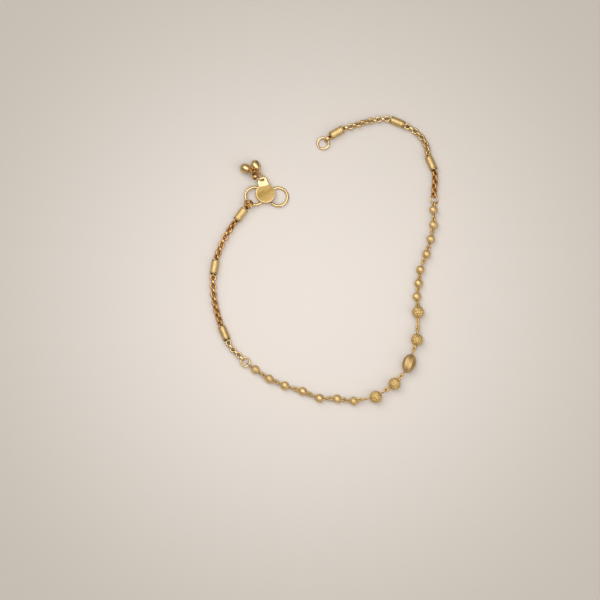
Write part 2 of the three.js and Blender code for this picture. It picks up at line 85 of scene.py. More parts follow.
def strand_frame(position: Floats, direction: Floats, roll: float) -> Floats:
    """Frame of a piece on the strand: X runs along it, and the piece is flat in X and Y.

    Left is up x along. Across is left turned about along by the roll.

    Args:
        position: The frame's origin.
        direction: The way along the strand, of any length.
        roll: Degrees that the piece is turned about the strand.

    Returns:
        The frame, a 4 by 4 matrix that takes local points to the anklet's.
    """
    along = unit(direction)
    left = unit(np.cross([0.0, 0.0, 1.0], along))
    lifted = np.cross(along, left)
    across = left * np.cos(np.radians(roll)) + lifted * np.sin(np.radians(roll))
    frame = np.eye(4)
    frame[:3] = np.stack([along, across, np.cross(along, across), position], 1)
    return frame


def turned(axis: int, degrees: float) -> Floats:
    """Frame that turns by the right-hand rule.

    Args:
        axis: What it turns about: 0, 1 or 2 for X, Y or Z.
        degrees: How far it turns.

    Returns:
        The frame.
    """
    frame = np.eye(4)
    first, second = (axis + 1) % 3, (axis + 2) % 3
    cosine, sine = np.cos(np.radians(degrees)), np.sin(np.radians(degrees))
    frame[first, first] = frame[second, second] = cosine
    frame[first, second], frame[second, first] = -sine, sine
    return frame


def moved(x: float, y: float = 0.0, z: float = 0.0) -> Floats:
    """Frame that moves without turning."""
    columns = np.array([[x], [y], [z]])
    return np.concatenate([np.hstack([np.eye(3), columns]), [[0.0, 0.0, 0.0, 1.0]]])


def smooth_step(value: Floats) -> Floats:
    """Ease from 0 to 1: 3 v^2 - 2 v^3 on v held between 0 and 1."""
    held = np.clip(value, 0.0, 1.0)
    return held * held * (3.0 - 2.0 * held)


# Surfaces


@dataclass
class Surface:
    """A closed surface of points and faces.

    Attributes:
        points: The points, one row each.
        quads: Four point numbers for each four-sided face.
        triangles: Three point numbers for each three-sided face.
        recess_shade: For each point, how much painted shade it takes, from 0 on the open surface
            to 1 deep in a recess.
        finish: Which of its piece's finishes it takes.
    """

    points: Floats
    quads: Integers
    triangles: Integers
    recess_shade: Floats
    finish: int = 0

    def placed(self, frame: Floats) -> Surface:
        """Return the surface carried into a frame."""
        return replace(self, points=self.points @ frame[:3, :3].T + frame[:3, 3])

    def scaled(self, factor: float) -> Surface:
        """Return the surface scaled about its origin."""
        return replace(self, points=self.points * factor)


def skin(grid: Floats, recess_shade: Floats | None = None, closed_rows: bool = False) -> Surface:
    """Close a grid of points into a surface with its faces outwards.

    Point (i, j) is point i * columns + j. Each face joins (i, j), (i, j + 1), (i + 1, j + 1) and
    (i + 1, j), and j wraps round. Unless the rows close on themselves, the first and the last
    each close to their middle point. Six times the volume is the sum of a . (b x c) over the
    triangles a, b, c, and where that is negative the faces are turned round.

    Args:
        grid: Points by row, column and coordinate.
        recess_shade: How much painted shade each grid point takes, or none.
        closed_rows: Whether the last row joins the first.

    Returns:
        The surface.
    """
    rows, columns = grid.shape[:2]
    index = np.arange(rows * columns).reshape(rows, columns)
    near, far = (index, np.roll(index, -1, 0)) if closed_rows else (index[:-1], index[1:])
    corners = [near, np.roll(near, -1, 1), np.roll(far, -1, 1), far]
    quads = np.stack([part.ravel() for part in corners], 1)
    points = grid.reshape(-1, 3)
    # Each point's painted shade; the point that closes each end takes its row's mean.
    depth = np.zeros(len(points)) if recess_shade is None else recess_shade.reshape(-1).astype(float)
    triangles = np.zeros((0, 3), dtype=np.int64)
    if not closed_rows:
        ends = np.stack([grid[0].mean(0), grid[-1].mean(0)])
        deep = [depth[:columns].mean(), depth[-columns:].mean()]
        points, depth = np.concatenate([points, ends]), np.concatenate([depth, deep])
        first, last = index[0], index[-1]
        start = np.stack([np.full(columns, rows * columns), np.roll(first, -1), first], 1)
        end = np.stack([np.full(columns, rows * columns + 1), last, np.roll(last, -1)], 1)
        triangles = np.concatenate([start, end])
    halves = np.concatenate([quads[:, [0, 1, 2]], quads[:, [0, 2, 3]], triangles])
    a, b, c = (points[halves[:, k]] for k in range(3))
    if np.einsum("ij,ij->", a, np.cross(b, c)) < 0:
        quads, triangles = quads[:, ::-1], triangles[:, ::-1]
    return Surface(points, quads, triangles, depth)


def around(count: int) -> Floats:
    """Return evenly spaced angles round a circle, in radians."""
    return np.linspace(0.0, TAU, count, endpoint=False)


def about_x(along: Floats, out: Floats, turn: Floats) -> Floats:
    """Grid of points (x, r cos a, r sin a), with x and r by row and a by column."""
    parts = np.broadcast_arrays(along, out * np.cos(turn), out * np.sin(turn))
    return np.stack(parts, -1)


def cushioned(value: Floats, power: Floats | float) -> Floats:
    """Square a cosine or sine off: sign(v) |v|^p."""
    return np.sign(value) * np.abs(value) ** power


CAP_ANGLES = (80.0, 55.0, 28.0)


def wire(path: Floats, thickness: Floats | float, sides: int = 12,
         closed: bool = False) -> Surface:
    """Carry a round section along a path in the XY plane, with rounded ends if it is open.

    With T the path's tangent and N = Z x T, the section's point is P + r (cos a N + sin a Z).
    Each end is a half ball: at angle b past the end the section is r cos b, moved r sin b on.

    Args:
        path: Points along the wire, one row each.
        thickness: The wire's diameter, or one for each point of the path.
        sides: Points round the section.
        closed: Whether the path closes on itself.

    Returns:
        The wire's surface.
    """
    radius = np.broadcast_to(np.asarray(thickness, dtype=float) / 2, (len(path),))
    if closed:
        tangent = unit(np.roll(path, -1, 0) - np.roll(path, 1, 0))
    else:
        tangent = unit(np.gradient(path, axis=0))
        bend = np.radians(CAP_ANGLES)
        cap, slim = np.sin(bend)[:, None], np.cos(bend)
        head = path[0] - tangent[0] * radius[0] * cap
        tail = path[-1] + tangent[-1] * radius[-1] * cap[::-1]
        path = np.concatenate([head, path, tail])
        radius = np.concatenate([radius[0] * slim, radius, radius[-1] * slim[::-1]])
        ends = [tangent[end].repeat(len(bend), 0) for end in (slice(0, 1), slice(-1, None))]
        tangent = np.concatenate([ends[0], tangent, ends[1]])
    side = np.stack([-tangent[:, 1], tangent[:, 0], np.zeros(len(path))], 1)
    turn = around(sides)
    out = side[:, None] * np.cos(turn)[:, None] + np.array([0, 0, 1.0]) * np.sin(turn)[:, None]
    return skin(path[:, None] + radius[:, None, None] * out, closed_rows=closed)


def arc(x: float, y: float, radius: float, start: float, stop: float, count: int) -> Floats:
    """Follow an arc in the XY plane: the middle plus radius (cos a, sin a).

    Args:
        x: The middle's X.
        y: The middle's Y.
        radius: The arc's radius.
        start: Where it starts, in degrees.
        stop: Where it stops, in degrees.
        count: How many points it has.

    Returns:
        The points, one row each.
    """
    angle = np.radians(np.linspace(start, stop, count))
    flat = [x + radius * np.cos(angle), y + radius * np.sin(angle), np.zeros(count)]
    return np.stack(flat, 1)


NICK_DEPTH = 0.3
NICK_WIDTH = 0.07


def ring(radius: float, thickness: float, seam: float) -> Surface:
    """A round wire ring about Z, with the fine nick of its soldered join.

    The wire's middle runs at radius - thickness / 2. At the join the wire is thinner by a
    bell-shaped dip, exp(-(distance / width)^2), and the points stand closer there.

    Args:
        radius: The ring's outer radius.
        thickness: The wire's diameter.
        seam: The join's angle in degrees.

    Returns:
        The ring.
    """
    middle = radius - thickness / 2
    spread = np.linspace(-1, 1, 97)[:-1]
    angle = np.radians(seam) + np.pi * cushioned(spread, 1.8)
    distance = (angle - np.radians(seam)) * middle
    widths = thickness * (1 - NICK_DEPTH * np.exp(-((distance / NICK_WIDTH) ** 2)))
    path = np.stack([middle * np.cos(angle), middle * np.sin(angle), np.zeros(len(angle))], 1)
    return wire(path, widths, sides=16, closed=True)


LEG_SPREAD = 0.7


def eye_loop(wire_width: float, width: float, root: float, neck: float, tip: float,
             pinch: float) -> Surface:
    """A wire eye in the XY plane: two legs that spread from a neck and close in a half circle.

    Each leg stands off the axis by h(x) = pinch + (half - pinch) s(x), where s eases from 0 at
    the neck to 1 a leg's spread past it, and half is the bend's radius.

    Args:
        wire_width: The wire's diameter.
        width: The eye's outer width.
        root: Where the legs start, inside what carries the eye.
        neck: Where the legs come out and start to spread.
        tip: How far the bend reaches.
        pinch: How far the legs stand off the axis at the root.

    Returns:
        The eye, in the second finish of its piece.
    """
    half = (width - wire_width) / 2
    bend = tip - wire_width / 2 - half
    along = np.linspace(root, bend, 18)[:-1]
    spread = min(LEG_SPREAD, max(bend - neck, 0.1))
    off = pinch + (half - pinch) * smooth_step((along - neck) / spread)
    leg = np.stack([along, -off, np.zeros(len(along))], 1)
    back = leg[::-1] * np.array([1.0, -1.0, 1.0])
    path = np.concatenate([leg, arc(bend, 0, half, -90, 90, 15), back])
    return replace(wire(path, wire_width), finish=1)


# Finishes


class Texture(Enum):
    """What the metal's surface is worked into."""

    POLISHED = "polished"
    SATIN = "satin"
    BRUSHED = "brushed"
    HAMMERED = "hammered"


def feed(node: bpy.types.Node, inputs: dict[str | int, Socket | Row | float]) -> None:
    """Set a shader node's inputs, or link them to what feeds them.

    Args:
        node: The node.
        inputs: The value of each input, or the socket that feeds it.
    """
    for key, value in inputs.items():
        if isinstance(value, Socket):
            node.id_data.links.new(value, node.inputs[key])
        else:
            node.inputs[key].default_value = value


def add_node(tree: Tree, kind: str, output: str, inputs: dict[str | int, Socket | Row | float],
             **settings: str) -> Socket:
    """Add a shader node.

    Args:
        tree: The nodes that it joins.
        kind: Its type.
        output: Which of its outputs is wanted.
        inputs: The value of each input, or the socket that feeds it.
        settings: Its own settings, which decide what inputs it has.

    Returns:
        The output.
    """
    node = tree.nodes.new(kind)
    for key, value in settings.items():
        setattr(node, key, value)
    feed(node, inputs)
    return node.outputs[output]


def noise(tree: Tree, place: Socket, size: float, detail: float) -> Socket:
    """Add a noise whose blotches are about size millimetres across."""
    inputs = {"Scale": 1.0 / (size * MM), "Detail": detail, "Vector": place}
    return add_node(tree, "ShaderNodeTexNoise", "Fac", inputs)


def ranged(tree: Tree, value: Socket, given: Row, wanted: Row) -> Socket:
    """Carry a value from one range to another, held inside it."""
    inputs = dict(zip(("From Min", "From Max", "To Min", "To Max"), (*given, *wanted)))
    return add_node(tree, "ShaderNodeMapRange", "Result", {**inputs, "Value": value})


def mixed(tree: Tree, share: Socket, first: Socket | Row, second: Row,
          blend: str = "MIX") -> Socket:
    """Blend a second colour over a first by a share."""
    inputs = {"A": first if isinstance(first, Socket) else (*first, 1.0), "B": (*second, 1.0)}
    return add_node(tree, "ShaderNodeMix", "Result", {**inputs, "Factor": share},
                    data_type="RGBA", blend_type=blend)


EDGE_TINT: Row = (0.30, 0.19, 0.07)
# Painted shade: the dark colour multiplied into recesses, as far as each point's attribute says.
PAINTED_RECESS_SHADE: Row = (0.34, 0.20, 0.09)
TONED_PATCH = 1.6
SHEEN_PATCH = 0.7
STROKE_LENGTH = 9.0
TONED_RANGE: Row = (0.35, 0.7)
SHEEN_RANGE: Row = (0.3, 0.7)


@dataclass(frozen=True)
class GoldFinish:
    """A gold-plated finish.

    Attributes:
        name: The material's name.
        texture: What the surface is worked into.
        light: Colour of the clean metal.
        deep: Colour of the toned patches.
        roughness: Least and greatest roughness.
        grain: Size of the texture's grain, in millimetres.
        relief: Height of the texture's relief, in millimetres.
        streak: Heading of the brush strokes, in degrees.
    """

    name: str
    texture: Texture
    light: Row
    deep: Row
    roughness: Row
    grain: float
    relief: float
    streak: float = 0.0

    @cache
    def material(self) -> bpy.types.Material:
        """Build the material on first use.

        Colour and roughness each vary with their own noise, recesses are darkened with painted
        shade by the piece's own attribute, and the grain is a bump. Brushing draws its noise out
        along the strokes.

        Returns:
            The material.
        """
        material = bpy.data.materials.new(self.name)
        material.use_nodes = True
        tree = material.node_tree
        place = add_node(tree, "ShaderNodeTexCoord", "Object", {})
        drawn, most = place, 0.55
        if self.texture is Texture.BRUSHED:
            strokes = {"Rotation": (0.0, 0.0, np.radians(self.streak)),
                       "Scale": (STROKE_LENGTH, 1.0, 1.0), "Vector": place}
            drawn, most = add_node(tree, "ShaderNodeMapping", "Vector", strokes,
                                   vector_type="TEXTURE"), 1.0
        toned = ranged(tree, noise(tree, drawn, TONED_PATCH, 3.0), TONED_RANGE, (0.0, most))
        # Painted shade in recesses, read from the piece's own attribute.
        recess_shade = add_node(tree, "ShaderNodeAttribute", "Fac", {}, attribute_name="recess_shade")
        clean = mixed(tree, toned, self.light, self.deep)
        sheen = noise(tree, place, SHEEN_PATCH, 2.0)
        relief = {"Distance": self.relief * MM, "Strength": 1.0,
                  "Height": self._height(tree, place, drawn)}
        feed(tree.nodes["Principled BSDF"], {
            "Metallic": 1.0,
            "Specular Tint": (*EDGE_TINT, 1.0),
            "Base Color": mixed(tree, recess_shade, clean, PAINTED_RECESS_SHADE, "MULTIPLY"),
            "Roughness": ranged(tree, sheen, SHEEN_RANGE, self.roughness),
            "Normal": add_node(tree, "ShaderNodeBump", "Normal", relief),
        })
        return material

    def _height(self, tree: Tree, place: Socket, drawn: Socket) -> Socket:
        """Build the height of the surface's texture.

        Hammered metal is cells about the size of the hammer's face. The others are a fine grain.

        Args:
            tree: The material's nodes.
            place: Coordinates on the piece.
            drawn: The same, drawn out along the brush strokes where there are any.

        Returns:
            The height, from 0 to 1.
        """
        if self.texture is Texture.HAMMERED:
            inputs = {"Scale": 1.0 / (self.grain * MM), "Smoothness": 0.4, "Vector": place}
            return add_node(tree, "ShaderNodeTexVoronoi", "Distance", inputs,
                            feature="SMOOTH_F1")
        return noise(tree, drawn, self.grain, 3.0)


POLISHED = GoldFinish("polished_gold", Texture.POLISHED, (0.85, 0.65, 0.35), (0.68, 0.46, 0.20),
                      (0.22, 0.34), 0.35, 0.008)
TONED = GoldFinish("toned_gold", Texture.POLISHED, (0.66, 0.47, 0.21), (0.44, 0.27, 0.09),
                   (0.26, 0.38), 0.30, 0.008)
SATIN = GoldFinish("satin_gold", Texture.SATIN, (0.87, 0.65, 0.33), (0.74, 0.49, 0.20),
                   (0.46, 0.58), 0.10, 0.014)
SOFT_SATIN = GoldFinish("soft_satin_gold", Texture.SATIN, (0.76, 0.57, 0.28),
                        (0.62, 0.42, 0.17), (0.42, 0.54), 0.12, 0.014)
GRAINED = GoldFinish("grained_gold", Texture.SATIN, (0.97, 0.73, 0.33), (0.78, 0.51, 0.17),
                     (0.24, 0.36), 0.14, 0.016)
HAMMERED = GoldFinish("hammered_gold", Texture.HAMMERED, (0.82, 0.615, 0.295),
                      (0.68, 0.47, 0.195), (0.42, 0.56), 0.42, 0.030)
BRUSHED = GoldFinish("brushed_gold", Texture.BRUSHED, (0.62, 0.43, 0.19), (0.34, 0.22, 0.05),
                     (0.34, 0.48), 0.16, 0.030, 38.0)
COPPERY = GoldFinish("coppery_gold", Texture.POLISHED, (0.82, 0.52, 0.21), (0.60, 0.30, 0.10),
                     (0.24, 0.38), 0.30, 0.008)


# Making pieces


def make_piece(name: str, surfaces: list[Surface], finishes: list[GoldFinish], node: str,
               crease: float = 40.0) -> None:
    """Join surfaces into one mesh object that takes the place of its solid.

    Args:
        name: The object's name.
        surfaces: Its surfaces, in millimetres.
        finishes: Its finishes, in the order that the surfaces count them.
        node: The node that it stands for.
        crease: Edges sharper than this many degrees stay crisp.
    """
    offset = np.cumsum([0] + [len(part.points) for part in surfaces])
    points = np.concatenate([part.points for part in surfaces]) * MM
    quads = np.concatenate([part.quads + start for part, start in zip(surfaces, offset)])
    triangles = np.concatenate([part.triangles + start for part, start in zip(surfaces, offset)])
    corners = np.concatenate([quads.ravel(), triangles.ravel()])
    sizes = np.concatenate([np.full(len(quads), 4), np.full(len(triangles), 3)])
    starts = np.concatenate([[0], np.cumsum(sizes)[:-1]])
    chosen = np.concatenate([np.full(len(part.quads), part.finish) for part in surfaces]
                            + [np.full(len(part.triangles), part.finish) for part in surfaces])
    mesh = bpy.data.meshes.new(name)
    mesh.vertices.add(len(points))
    mesh.vertices.foreach_set("co", points.ravel())
    mesh.loops.add(len(corners))
    mesh.loops.foreach_set("vertex_index", corners.astype(np.int32))
    mesh.polygons.add(len(sizes))
    mesh.polygons.foreach_set("loop_start", starts.astype(np.int32))
    for finish in finishes:
        mesh.materials.append(finish.material())
    mesh.polygons.foreach_set("material_index", chosen.astype(np.int32))
    mesh.update(calc_edges=True)
    mesh.validate()
    # Each point's painted shade in recesses goes on the mesh as an attribute, which the material
    # reads.
    recess_shade = mesh.attributes.new("recess_shade", "FLOAT", "POINT")
    recess_shade.data.foreach_set("value", np.concatenate([part.recess_shade for part in surfaces]))
    mesh.shade_smooth()
    mesh.set_sharp_from_angle(angle=np.radians(crease))
    piece = bpy.data.objects.new(name, mesh)
    bpy.context.scene.collection.objects.link(piece)
    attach(piece, "root")
    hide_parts(node)
    LOG.info("%s: %d faces in place of %s", name, len(sizes), node)


# Beads


class Working(Enum):
    """How a bead's surface is cut."""

    CUTS = "flat cuts in staggered rings"
    GRANULES = "rows of granules in a swirl"
    LEAVES = "long leaf-shaped cuts"


# Each step of a bead's hole: its depth below the end and its share of the hole's radius.
HOLE_STEPS = ((0.42, 0.30), (0.42, 0.86), (0.10, 0.90))
CUTS_ROUND = 8
# Each ring of flat cuts: its angle from the pole in degrees, and how far on it is in radians.
CUT_RINGS = ((52.0, 0.0), (90.0, TAU / 16), (128.0, 0.0))
CUT_DISTANCE = 0.945
# The first and last ring of granules, in degrees from the pole, and how many rings there are.
GRANULE_RINGS = (22.0, 158.0, 9)
GRANULES_ROUND = 19
GRANULE_ANGLE = 9.6
GRANULE_HEIGHT = 0.18
GRANULE_SWIRL = 0.42
LEAF_COUNT = 6
LEAF_WIDTH = 0.47
LEAF_DEPTH = 0.13


def directions(polar: Floats, azimuth: Floats) -> Floats:
    """Unit directions (-cos t, sin t cos a, sin t sin a) for every polar t and azimuth a."""
    return about_x(-np.cos(polar), np.sin(polar), azimuth)


@dataclass(frozen=True)
class BeadKind:
    """The size and working of a kind of bead, which is round about X.

    Attributes:
        radius: Its radius.
        half_length: Half its length.
        nose: How far the curve's middle stands from the middle of the bead.
        working: How its surface is cut.
        rows: Grid rows along it.
        columns: Grid columns round it.
        hole: Radius of the hole at each end.
        shading: How much painted shade the deepest of its working takes.
        finish: Its metal.
        slot: The record's material slot; not used.
    """

    radius: float
    half_length: float
    nose: float
    working: Working
    rows: int
    columns: int
    hole: float
    shading: float
    finish: GoldFinish
    slot: str = "polished_gold"

    def surface(self, turn: float) -> Surface:
        """Build the bead about X, centred on the origin.

        With t from one pole to the other and a round the axis, the smooth skin is
        (-L cos t, R sin t cos a, R sin t sin a), and every point is drawn in by the working's
        depth. At each end the skin turns in to a short blind hole.

        Args:
            turn: Degrees that the working is turned about the axis.

        Returns:
            The bead.
        """
        edge = np.arcsin(self.hole / self.radius)
        polar = np.linspace(edge, np.pi - edge, self.rows)[:, None]
        azimuth = around(self.columns)[None, :]
        workings = {Working.CUTS: self._cuts, Working.GRANULES: self._granules,
                    Working.LEAVES: self._leaves}
        depth = workings[self.working](polar, azimuth + np.radians(turn))
        fade = smooth_step((np.sin(polar) - np.sin(edge)) / 0.12)
        inward = 1.0 - depth * fade / self.radius
        along = -self.half_length * np.cos(polar) * inward
        worked = about_x(along, self.radius * np.sin(polar) * inward, azimuth)
        below, share = np.array(HOLE_STEPS).T[:, :, None]
        hole = about_x(self.half_length * np.cos(edge) - below, self.hole * share, azimuth)
        grid = np.concatenate([hole * [-1, 1, 1], worked, hole[::-1]])
        # Painted shade: the holes take it in full, and the working takes it by how deep it is cut.
        shade = np.ones(grid.shape[:2])
        deepest = max(float(depth.max()), 1e-6)
        shade[len(hole):-len(hole)] = self.shading * (depth / deepest) ** 1.5
        return skin(grid, shade)

    def _cuts(self, polar: Floats, azimuth: Floats) -> Floats:
        """Cut flats in staggered rings: a plane at p R cuts the skin to p R / (n . d).

        Args:
            polar: Angle from the bead's -X pole, one column.
            azimuth: Angle round the bead, one row.

        Returns:
            The depth below the smooth skin, for every grid point at once.
        """
        normals = [directions(np.radians([[ring_polar]]), around(CUTS_ROUND)[None] + shift)
                   .reshape(-1, 3) for ring_polar, shift in CUT_RINGS]
        facing = directions(polar, azimuth) @ np.concatenate(normals).T
        reach = np.minimum(1.0, (CUT_DISTANCE / np.clip(facing, 1e-3, None)).min(-1))
        return self.radius * (1.0 - reach)

    def _granules(self, polar: Floats, azimuth: Floats) -> Floats:
        """Leave small domes between grooves.

        A dome of angular radius w at angle a from the point stands sqrt(1 - (a / w)^2) high, and
        the depth is what is left of the groove below the highest dome there.

        Args:
            polar: Angle from the bead's -X pole, one column.
            azimuth: Angle round the bead, one row.

        Returns:
            The depth below the smooth skin.
        """
        centres = []
        for number, ring_polar in enumerate(np.radians(np.linspace(*GRANULE_RINGS))):
            count = max(6, int(round(GRANULES_ROUND * np.sin(ring_polar))))
            turn = around(count)[None] + number * GRANULE_SWIRL
            centres.append(directions(np.array([[ring_polar]]), turn).reshape(-1, 3))
        facing = (directions(polar, azimuth) @ np.concatenate(centres).T).max(-1)
        away = np.arccos(np.clip(facing, -1.0, 1.0)) / np.radians(GRANULE_ANGLE)
        return GRANULE_HEIGHT * (1.0 - np.sqrt(np.clip(1.0 - away**2, 0.0, 1.0)))

    def _leaves(self, polar: Floats, azimuth: Floats) -> Floats:
        """Cut long leaf shapes side by side.

        With s the sector that a leaf has, it is w = 0.47 s sin(t)^0.6 to each side of its middle
        at t along the bead, and at angle a from its middle 0.13 sqrt(1 - (a / w)^2) sin(t) deep.

        Args:
            polar: Angle from the bead's -X pole, one column.
            azimuth: Angle round the bead, one row.

        Returns:
            The depth below the smooth skin.
        """
        sector = TAU / LEAF_COUNT
        off = np.abs((azimuth + sector / 2) % sector - sector / 2)
        width = LEAF_WIDTH * sector * np.sin(polar) ** 0.6
        flat = np.clip(1.0 - (off / np.maximum(width, 1e-3)) ** 2, 0.0, 1.0)
        return LEAF_DEPTH * np.sqrt(flat) * np.sin(polar)


SMALL_BEAD = BeadKind(1.5, 1.58, 0.0, Working.CUTS, 40, 64, 0.6, 0.0, SATIN, "satin_gold")
BALL = BeadKind(2.15, 2.15, 0.0, Working.GRANULES, 84, 168, 0.7, 0.62, GRAINED)
OVAL = BeadKind(2.3, 3.45, 2.0, Working.LEAVES, 72, 96, 0.7, 0.42, SOFT_SATIN)

# Play between joined pieces, then a bead's eyes: width, root, half the gap of the legs there,
# wire, and the longest loop without a stem.
PLAY = 0.1
BEAD_EYE_WIDTH = 1.56
BEAD_EYE_ROOT = 0.5
BEAD_EYE_PINCH = 0.27
SOLDERED_WIRE = 0.58
LONGEST_LOOP = 2.3
# How far each bead's working is turned on from the last one's.
BEAD_TURN = 37.0
# The solids' rings and links have ten flat sides, and their holes are clear this share of the way.
CLEAR_SHARE = float(np.cos(np.pi / 10))


@dataclass(frozen=True)
class Bead:
    """A bead on the strand.

    Attributes:
        name: Its node.
        kind: Its size and working.
        x: Place across the floor.
        y: Place up the floor.
        roll: Roll of its eye towards the next piece.
        share: How much of the length of that joined pair of eyes belongs to this bead.
        heading: Heading of its axis, if it isn't that of its neighbours.
    """

    name: str
    kind: BeadKind
    x: float
    y: float
    roll: float
    share: float = 0.5
    heading: float | None = None

    @property
    def centre(self) -> Floats:
        """Middle of the bead, which rests on the floor."""
        return np.array([self.x, self.y, self.kind.radius])

    def end(self, side: int) -> tuple[Floats, float]:
        """Anchor of the bead's end on one side, and how far the bead reaches from it."""
        anchor = self.centre + heading_vector(self.heading or 0.0) * side * self.kind.nose
        return anchor, self.kind.half_length - self.kind.nose


@dataclass(frozen=True)
class Connector:
    """A plain ring where the chain meets the beads.

    Attributes:
        name: Its node.
        x: Place across the floor.
        y: Place up the floor.
        z: Height of its middle.
        roll: Its roll about the strand.
        heading: Heading of the strand through it.
        radius: Its outer radius.
        thickness: Its wire's diameter.
        seam: Where its wire is joined.
    """

    name: str
    x: float
    y: float
    z: float
    roll: float
    heading: float
    radius: float = 1.9
    thickness: float = 0.62
    seam: float = 180.0

    @property
    def centre(self) -> Floats:
        """Middle of the ring."""
        return np.array([self.x, self.y, self.z])


FIRST_CONNECTOR = Connector("connector_ring_1", -27.4, -36.4, 1.28, 8, -50)
SECOND_CONNECTOR = Connector("connector_ring_2", 38.7, 21.65, 1.32, 40, 90)

BEADS = (
    Bead("bead_l1", SMALL_BEAD, -23.9, -39.1, 80),
    Bead("bead_l2", SMALL_BEAD, -19.05, -42.45, 0),
    Bead("bead_l3", SMALL_BEAD, -13.6, -44.85, 84),
    Bead("bead_l4", SMALL_BEAD, -7.35, -46.9, 5),
    Bead("bead_l5", SMALL_BEAD, -1.5, -49.3, 90),
    Bead("bead_l6", SMALL_BEAD, 4.7, -49.55, -4),
    Bead("bead_l7", SMALL_BEAD, 10.45, -50.35, 0, 0.32),
    Bead("ball_1", BALL, 18.15, -49.0, 90),
    Bead("ball_2", BALL, 24.7, -44.35, 5),
    Bead("oval_bead", OVAL, 29.8, -37.1, 90, 0.5, 71.2),
    Bead("ball_3", BALL, 32.6, -28.6, 90, 0.27),
    Bead("ball_4", BALL, 33.0, -18.8, 0),
    Bead("bead_r1", SMALL_BEAD, 32.6, -13.15, 86),
    Bead("bead_r2", SMALL_BEAD, 33.2, -8.35, 0),
    Bead("bead_r3", SMALL_BEAD, 33.85, -3.55, 94),
    Bead("bead_r4", SMALL_BEAD, 35.95, 2.05, 5),
    Bead("bead_r5", SMALL_BEAD, 37.5, 7.4, 90),
    Bead("bead_r6", SMALL_BEAD, 38.5, 12.55, -5),
    Bead("bead_r7", SMALL_BEAD, 38.5, 17.9, 0, 1.0),
)


@dataclass
class BeadString:
    """The string of beads between the two connector rings.

    Attributes:
        beads: The beads in order.
        first: The ring before them.
        last: The ring after them.
    """

    beads: tuple[Bead, ...] = BEADS
    first: Connector = FIRST_CONNECTOR
    last: Connector = SECOND_CONNECTOR

    def build(self) -> None:
        """Make every bead with its two eyes, and both rings."""
        eyes = self._eyes()
        places = [self.first, *self.beads, self.last]
        for number, bead in enumerate(self.beads):
            before, after = places[number], places[number + 2]
            chord = np.degrees(np.arctan2(after.y - before.y, after.x - before.x))
            heading = chord if bead.heading is None else bead.heading
            frame = strand_frame(bead.centre, heading_vector(heading), 0)
            body = bead.kind.surface(turn=BEAD_TURN * number).placed(frame)
            make_piece("worked_" + bead.name, [body, *eyes[number]], [bead.kind.finish, TONED],
                       bead.name, crease=20.0)
        for place in (self.first, self.last):
            frame = strand_frame(place.centre, heading_vector(place.heading), place.roll)
            surface = ring(place.radius, place.thickness, place.seam).placed(frame)
            make_piece("round_" + place.name, [surface], [POLISHED], place.name)

    def _eyes(self) -> list[list[Surface]]:
        """Build each bead's eyes.

        Two joined eyes share the gap between their beads: together they are as long as the gap,
        twice the wire and a little play, and stand a quarter turn apart.

        Returns:
            The eyes of each bead, in order.
        """
        found: list[list[Surface]] = [[] for _ in self.beads]
        found[0].append(self._ring_eye(self.beads[0], -1, self.first, 90 - self.first.roll))
        for number, (bead, following) in enumerate(zip(self.beads, self.beads[1:])):
            near, near_reach = bead.end(1)
            far, far_reach = following.end(-1)
            gap = float(np.linalg.norm(far - near)) - near_reach - far_reach
            both = gap + 2 * SOLDERED_WIRE + PLAY
            found[number].append(self._eye(near, near_reach, far, both * bead.share, bead.roll))
            rest = both * (1 - bead.share)
            found[number + 1].append(self._eye(far, far_reach, near, rest, 90 - bead.roll))
        found[-1].append(self._ring_eye(self.beads[-1], 1, self.last, self.last.roll + 90))
        return found

    def _ring_eye(self, bead: Bead, side: int, place: Connector, roll: float) -> Surface:
        """Build the eye that goes round a connector ring's wire.

        Args:
            bead: The bead that carries it.
            side: The bead's side.
            place: The ring.
            roll: The eye's roll.

        Returns:
            The eye.
        """
        anchor, reach = bead.end(side)
        gap = float(np.linalg.norm(place.centre - anchor)) - reach - place.radius
        length = gap + SOLDERED_WIRE + place.thickness + PLAY
        return self._eye(anchor, reach, place.centre, length, roll)

    def _eye(self, anchor: Floats, reach: float, target: Floats, length: float,
             roll: float) -> Surface:
        """Build one eye, on a stem where it is long.

        Args:
            anchor: The point of the bead's axis that it stands out from.
            reach: How far the bead reaches from there.
            target: The point that the eye is turned to.
            length: How far the eye reaches from the bead.
            roll: The eye's roll.

        Returns:
            The eye.
        """
        tip = reach + length
        eye = eye_loop(SOLDERED_WIRE, BEAD_EYE_WIDTH, reach - BEAD_EYE_ROOT,
                       max(reach - 0.05, tip - LONGEST_LOOP), tip, BEAD_EYE_PINCH)
        return eye.placed(strand_frame(anchor, target - anchor, roll))


# Tubes and chain


# A tube's rim from the skin to the mouth: how far in from the end and out from the outer radius.
TUBE_RIM = ((0.46, -0.04), (0.38, -0.15), (0.30, -0.05), (0.20, 0.0), (0.08, -0.02), (0.0, -0.09))
# How much painted shade each row of the rim and of the bore takes.
TUBE_SHADE = (0, 1.0, 0, 0, 0, 0, 0.2, 0.8, 1.0, 1.0, 1.0)
DIMPLE_PITCH = 0.92
DIMPLES_ROUND = 9
DIMPLE_DEPTH = 0.05
DIMPLE_SHADE = 0.2
SKIN_INSET = 0.03


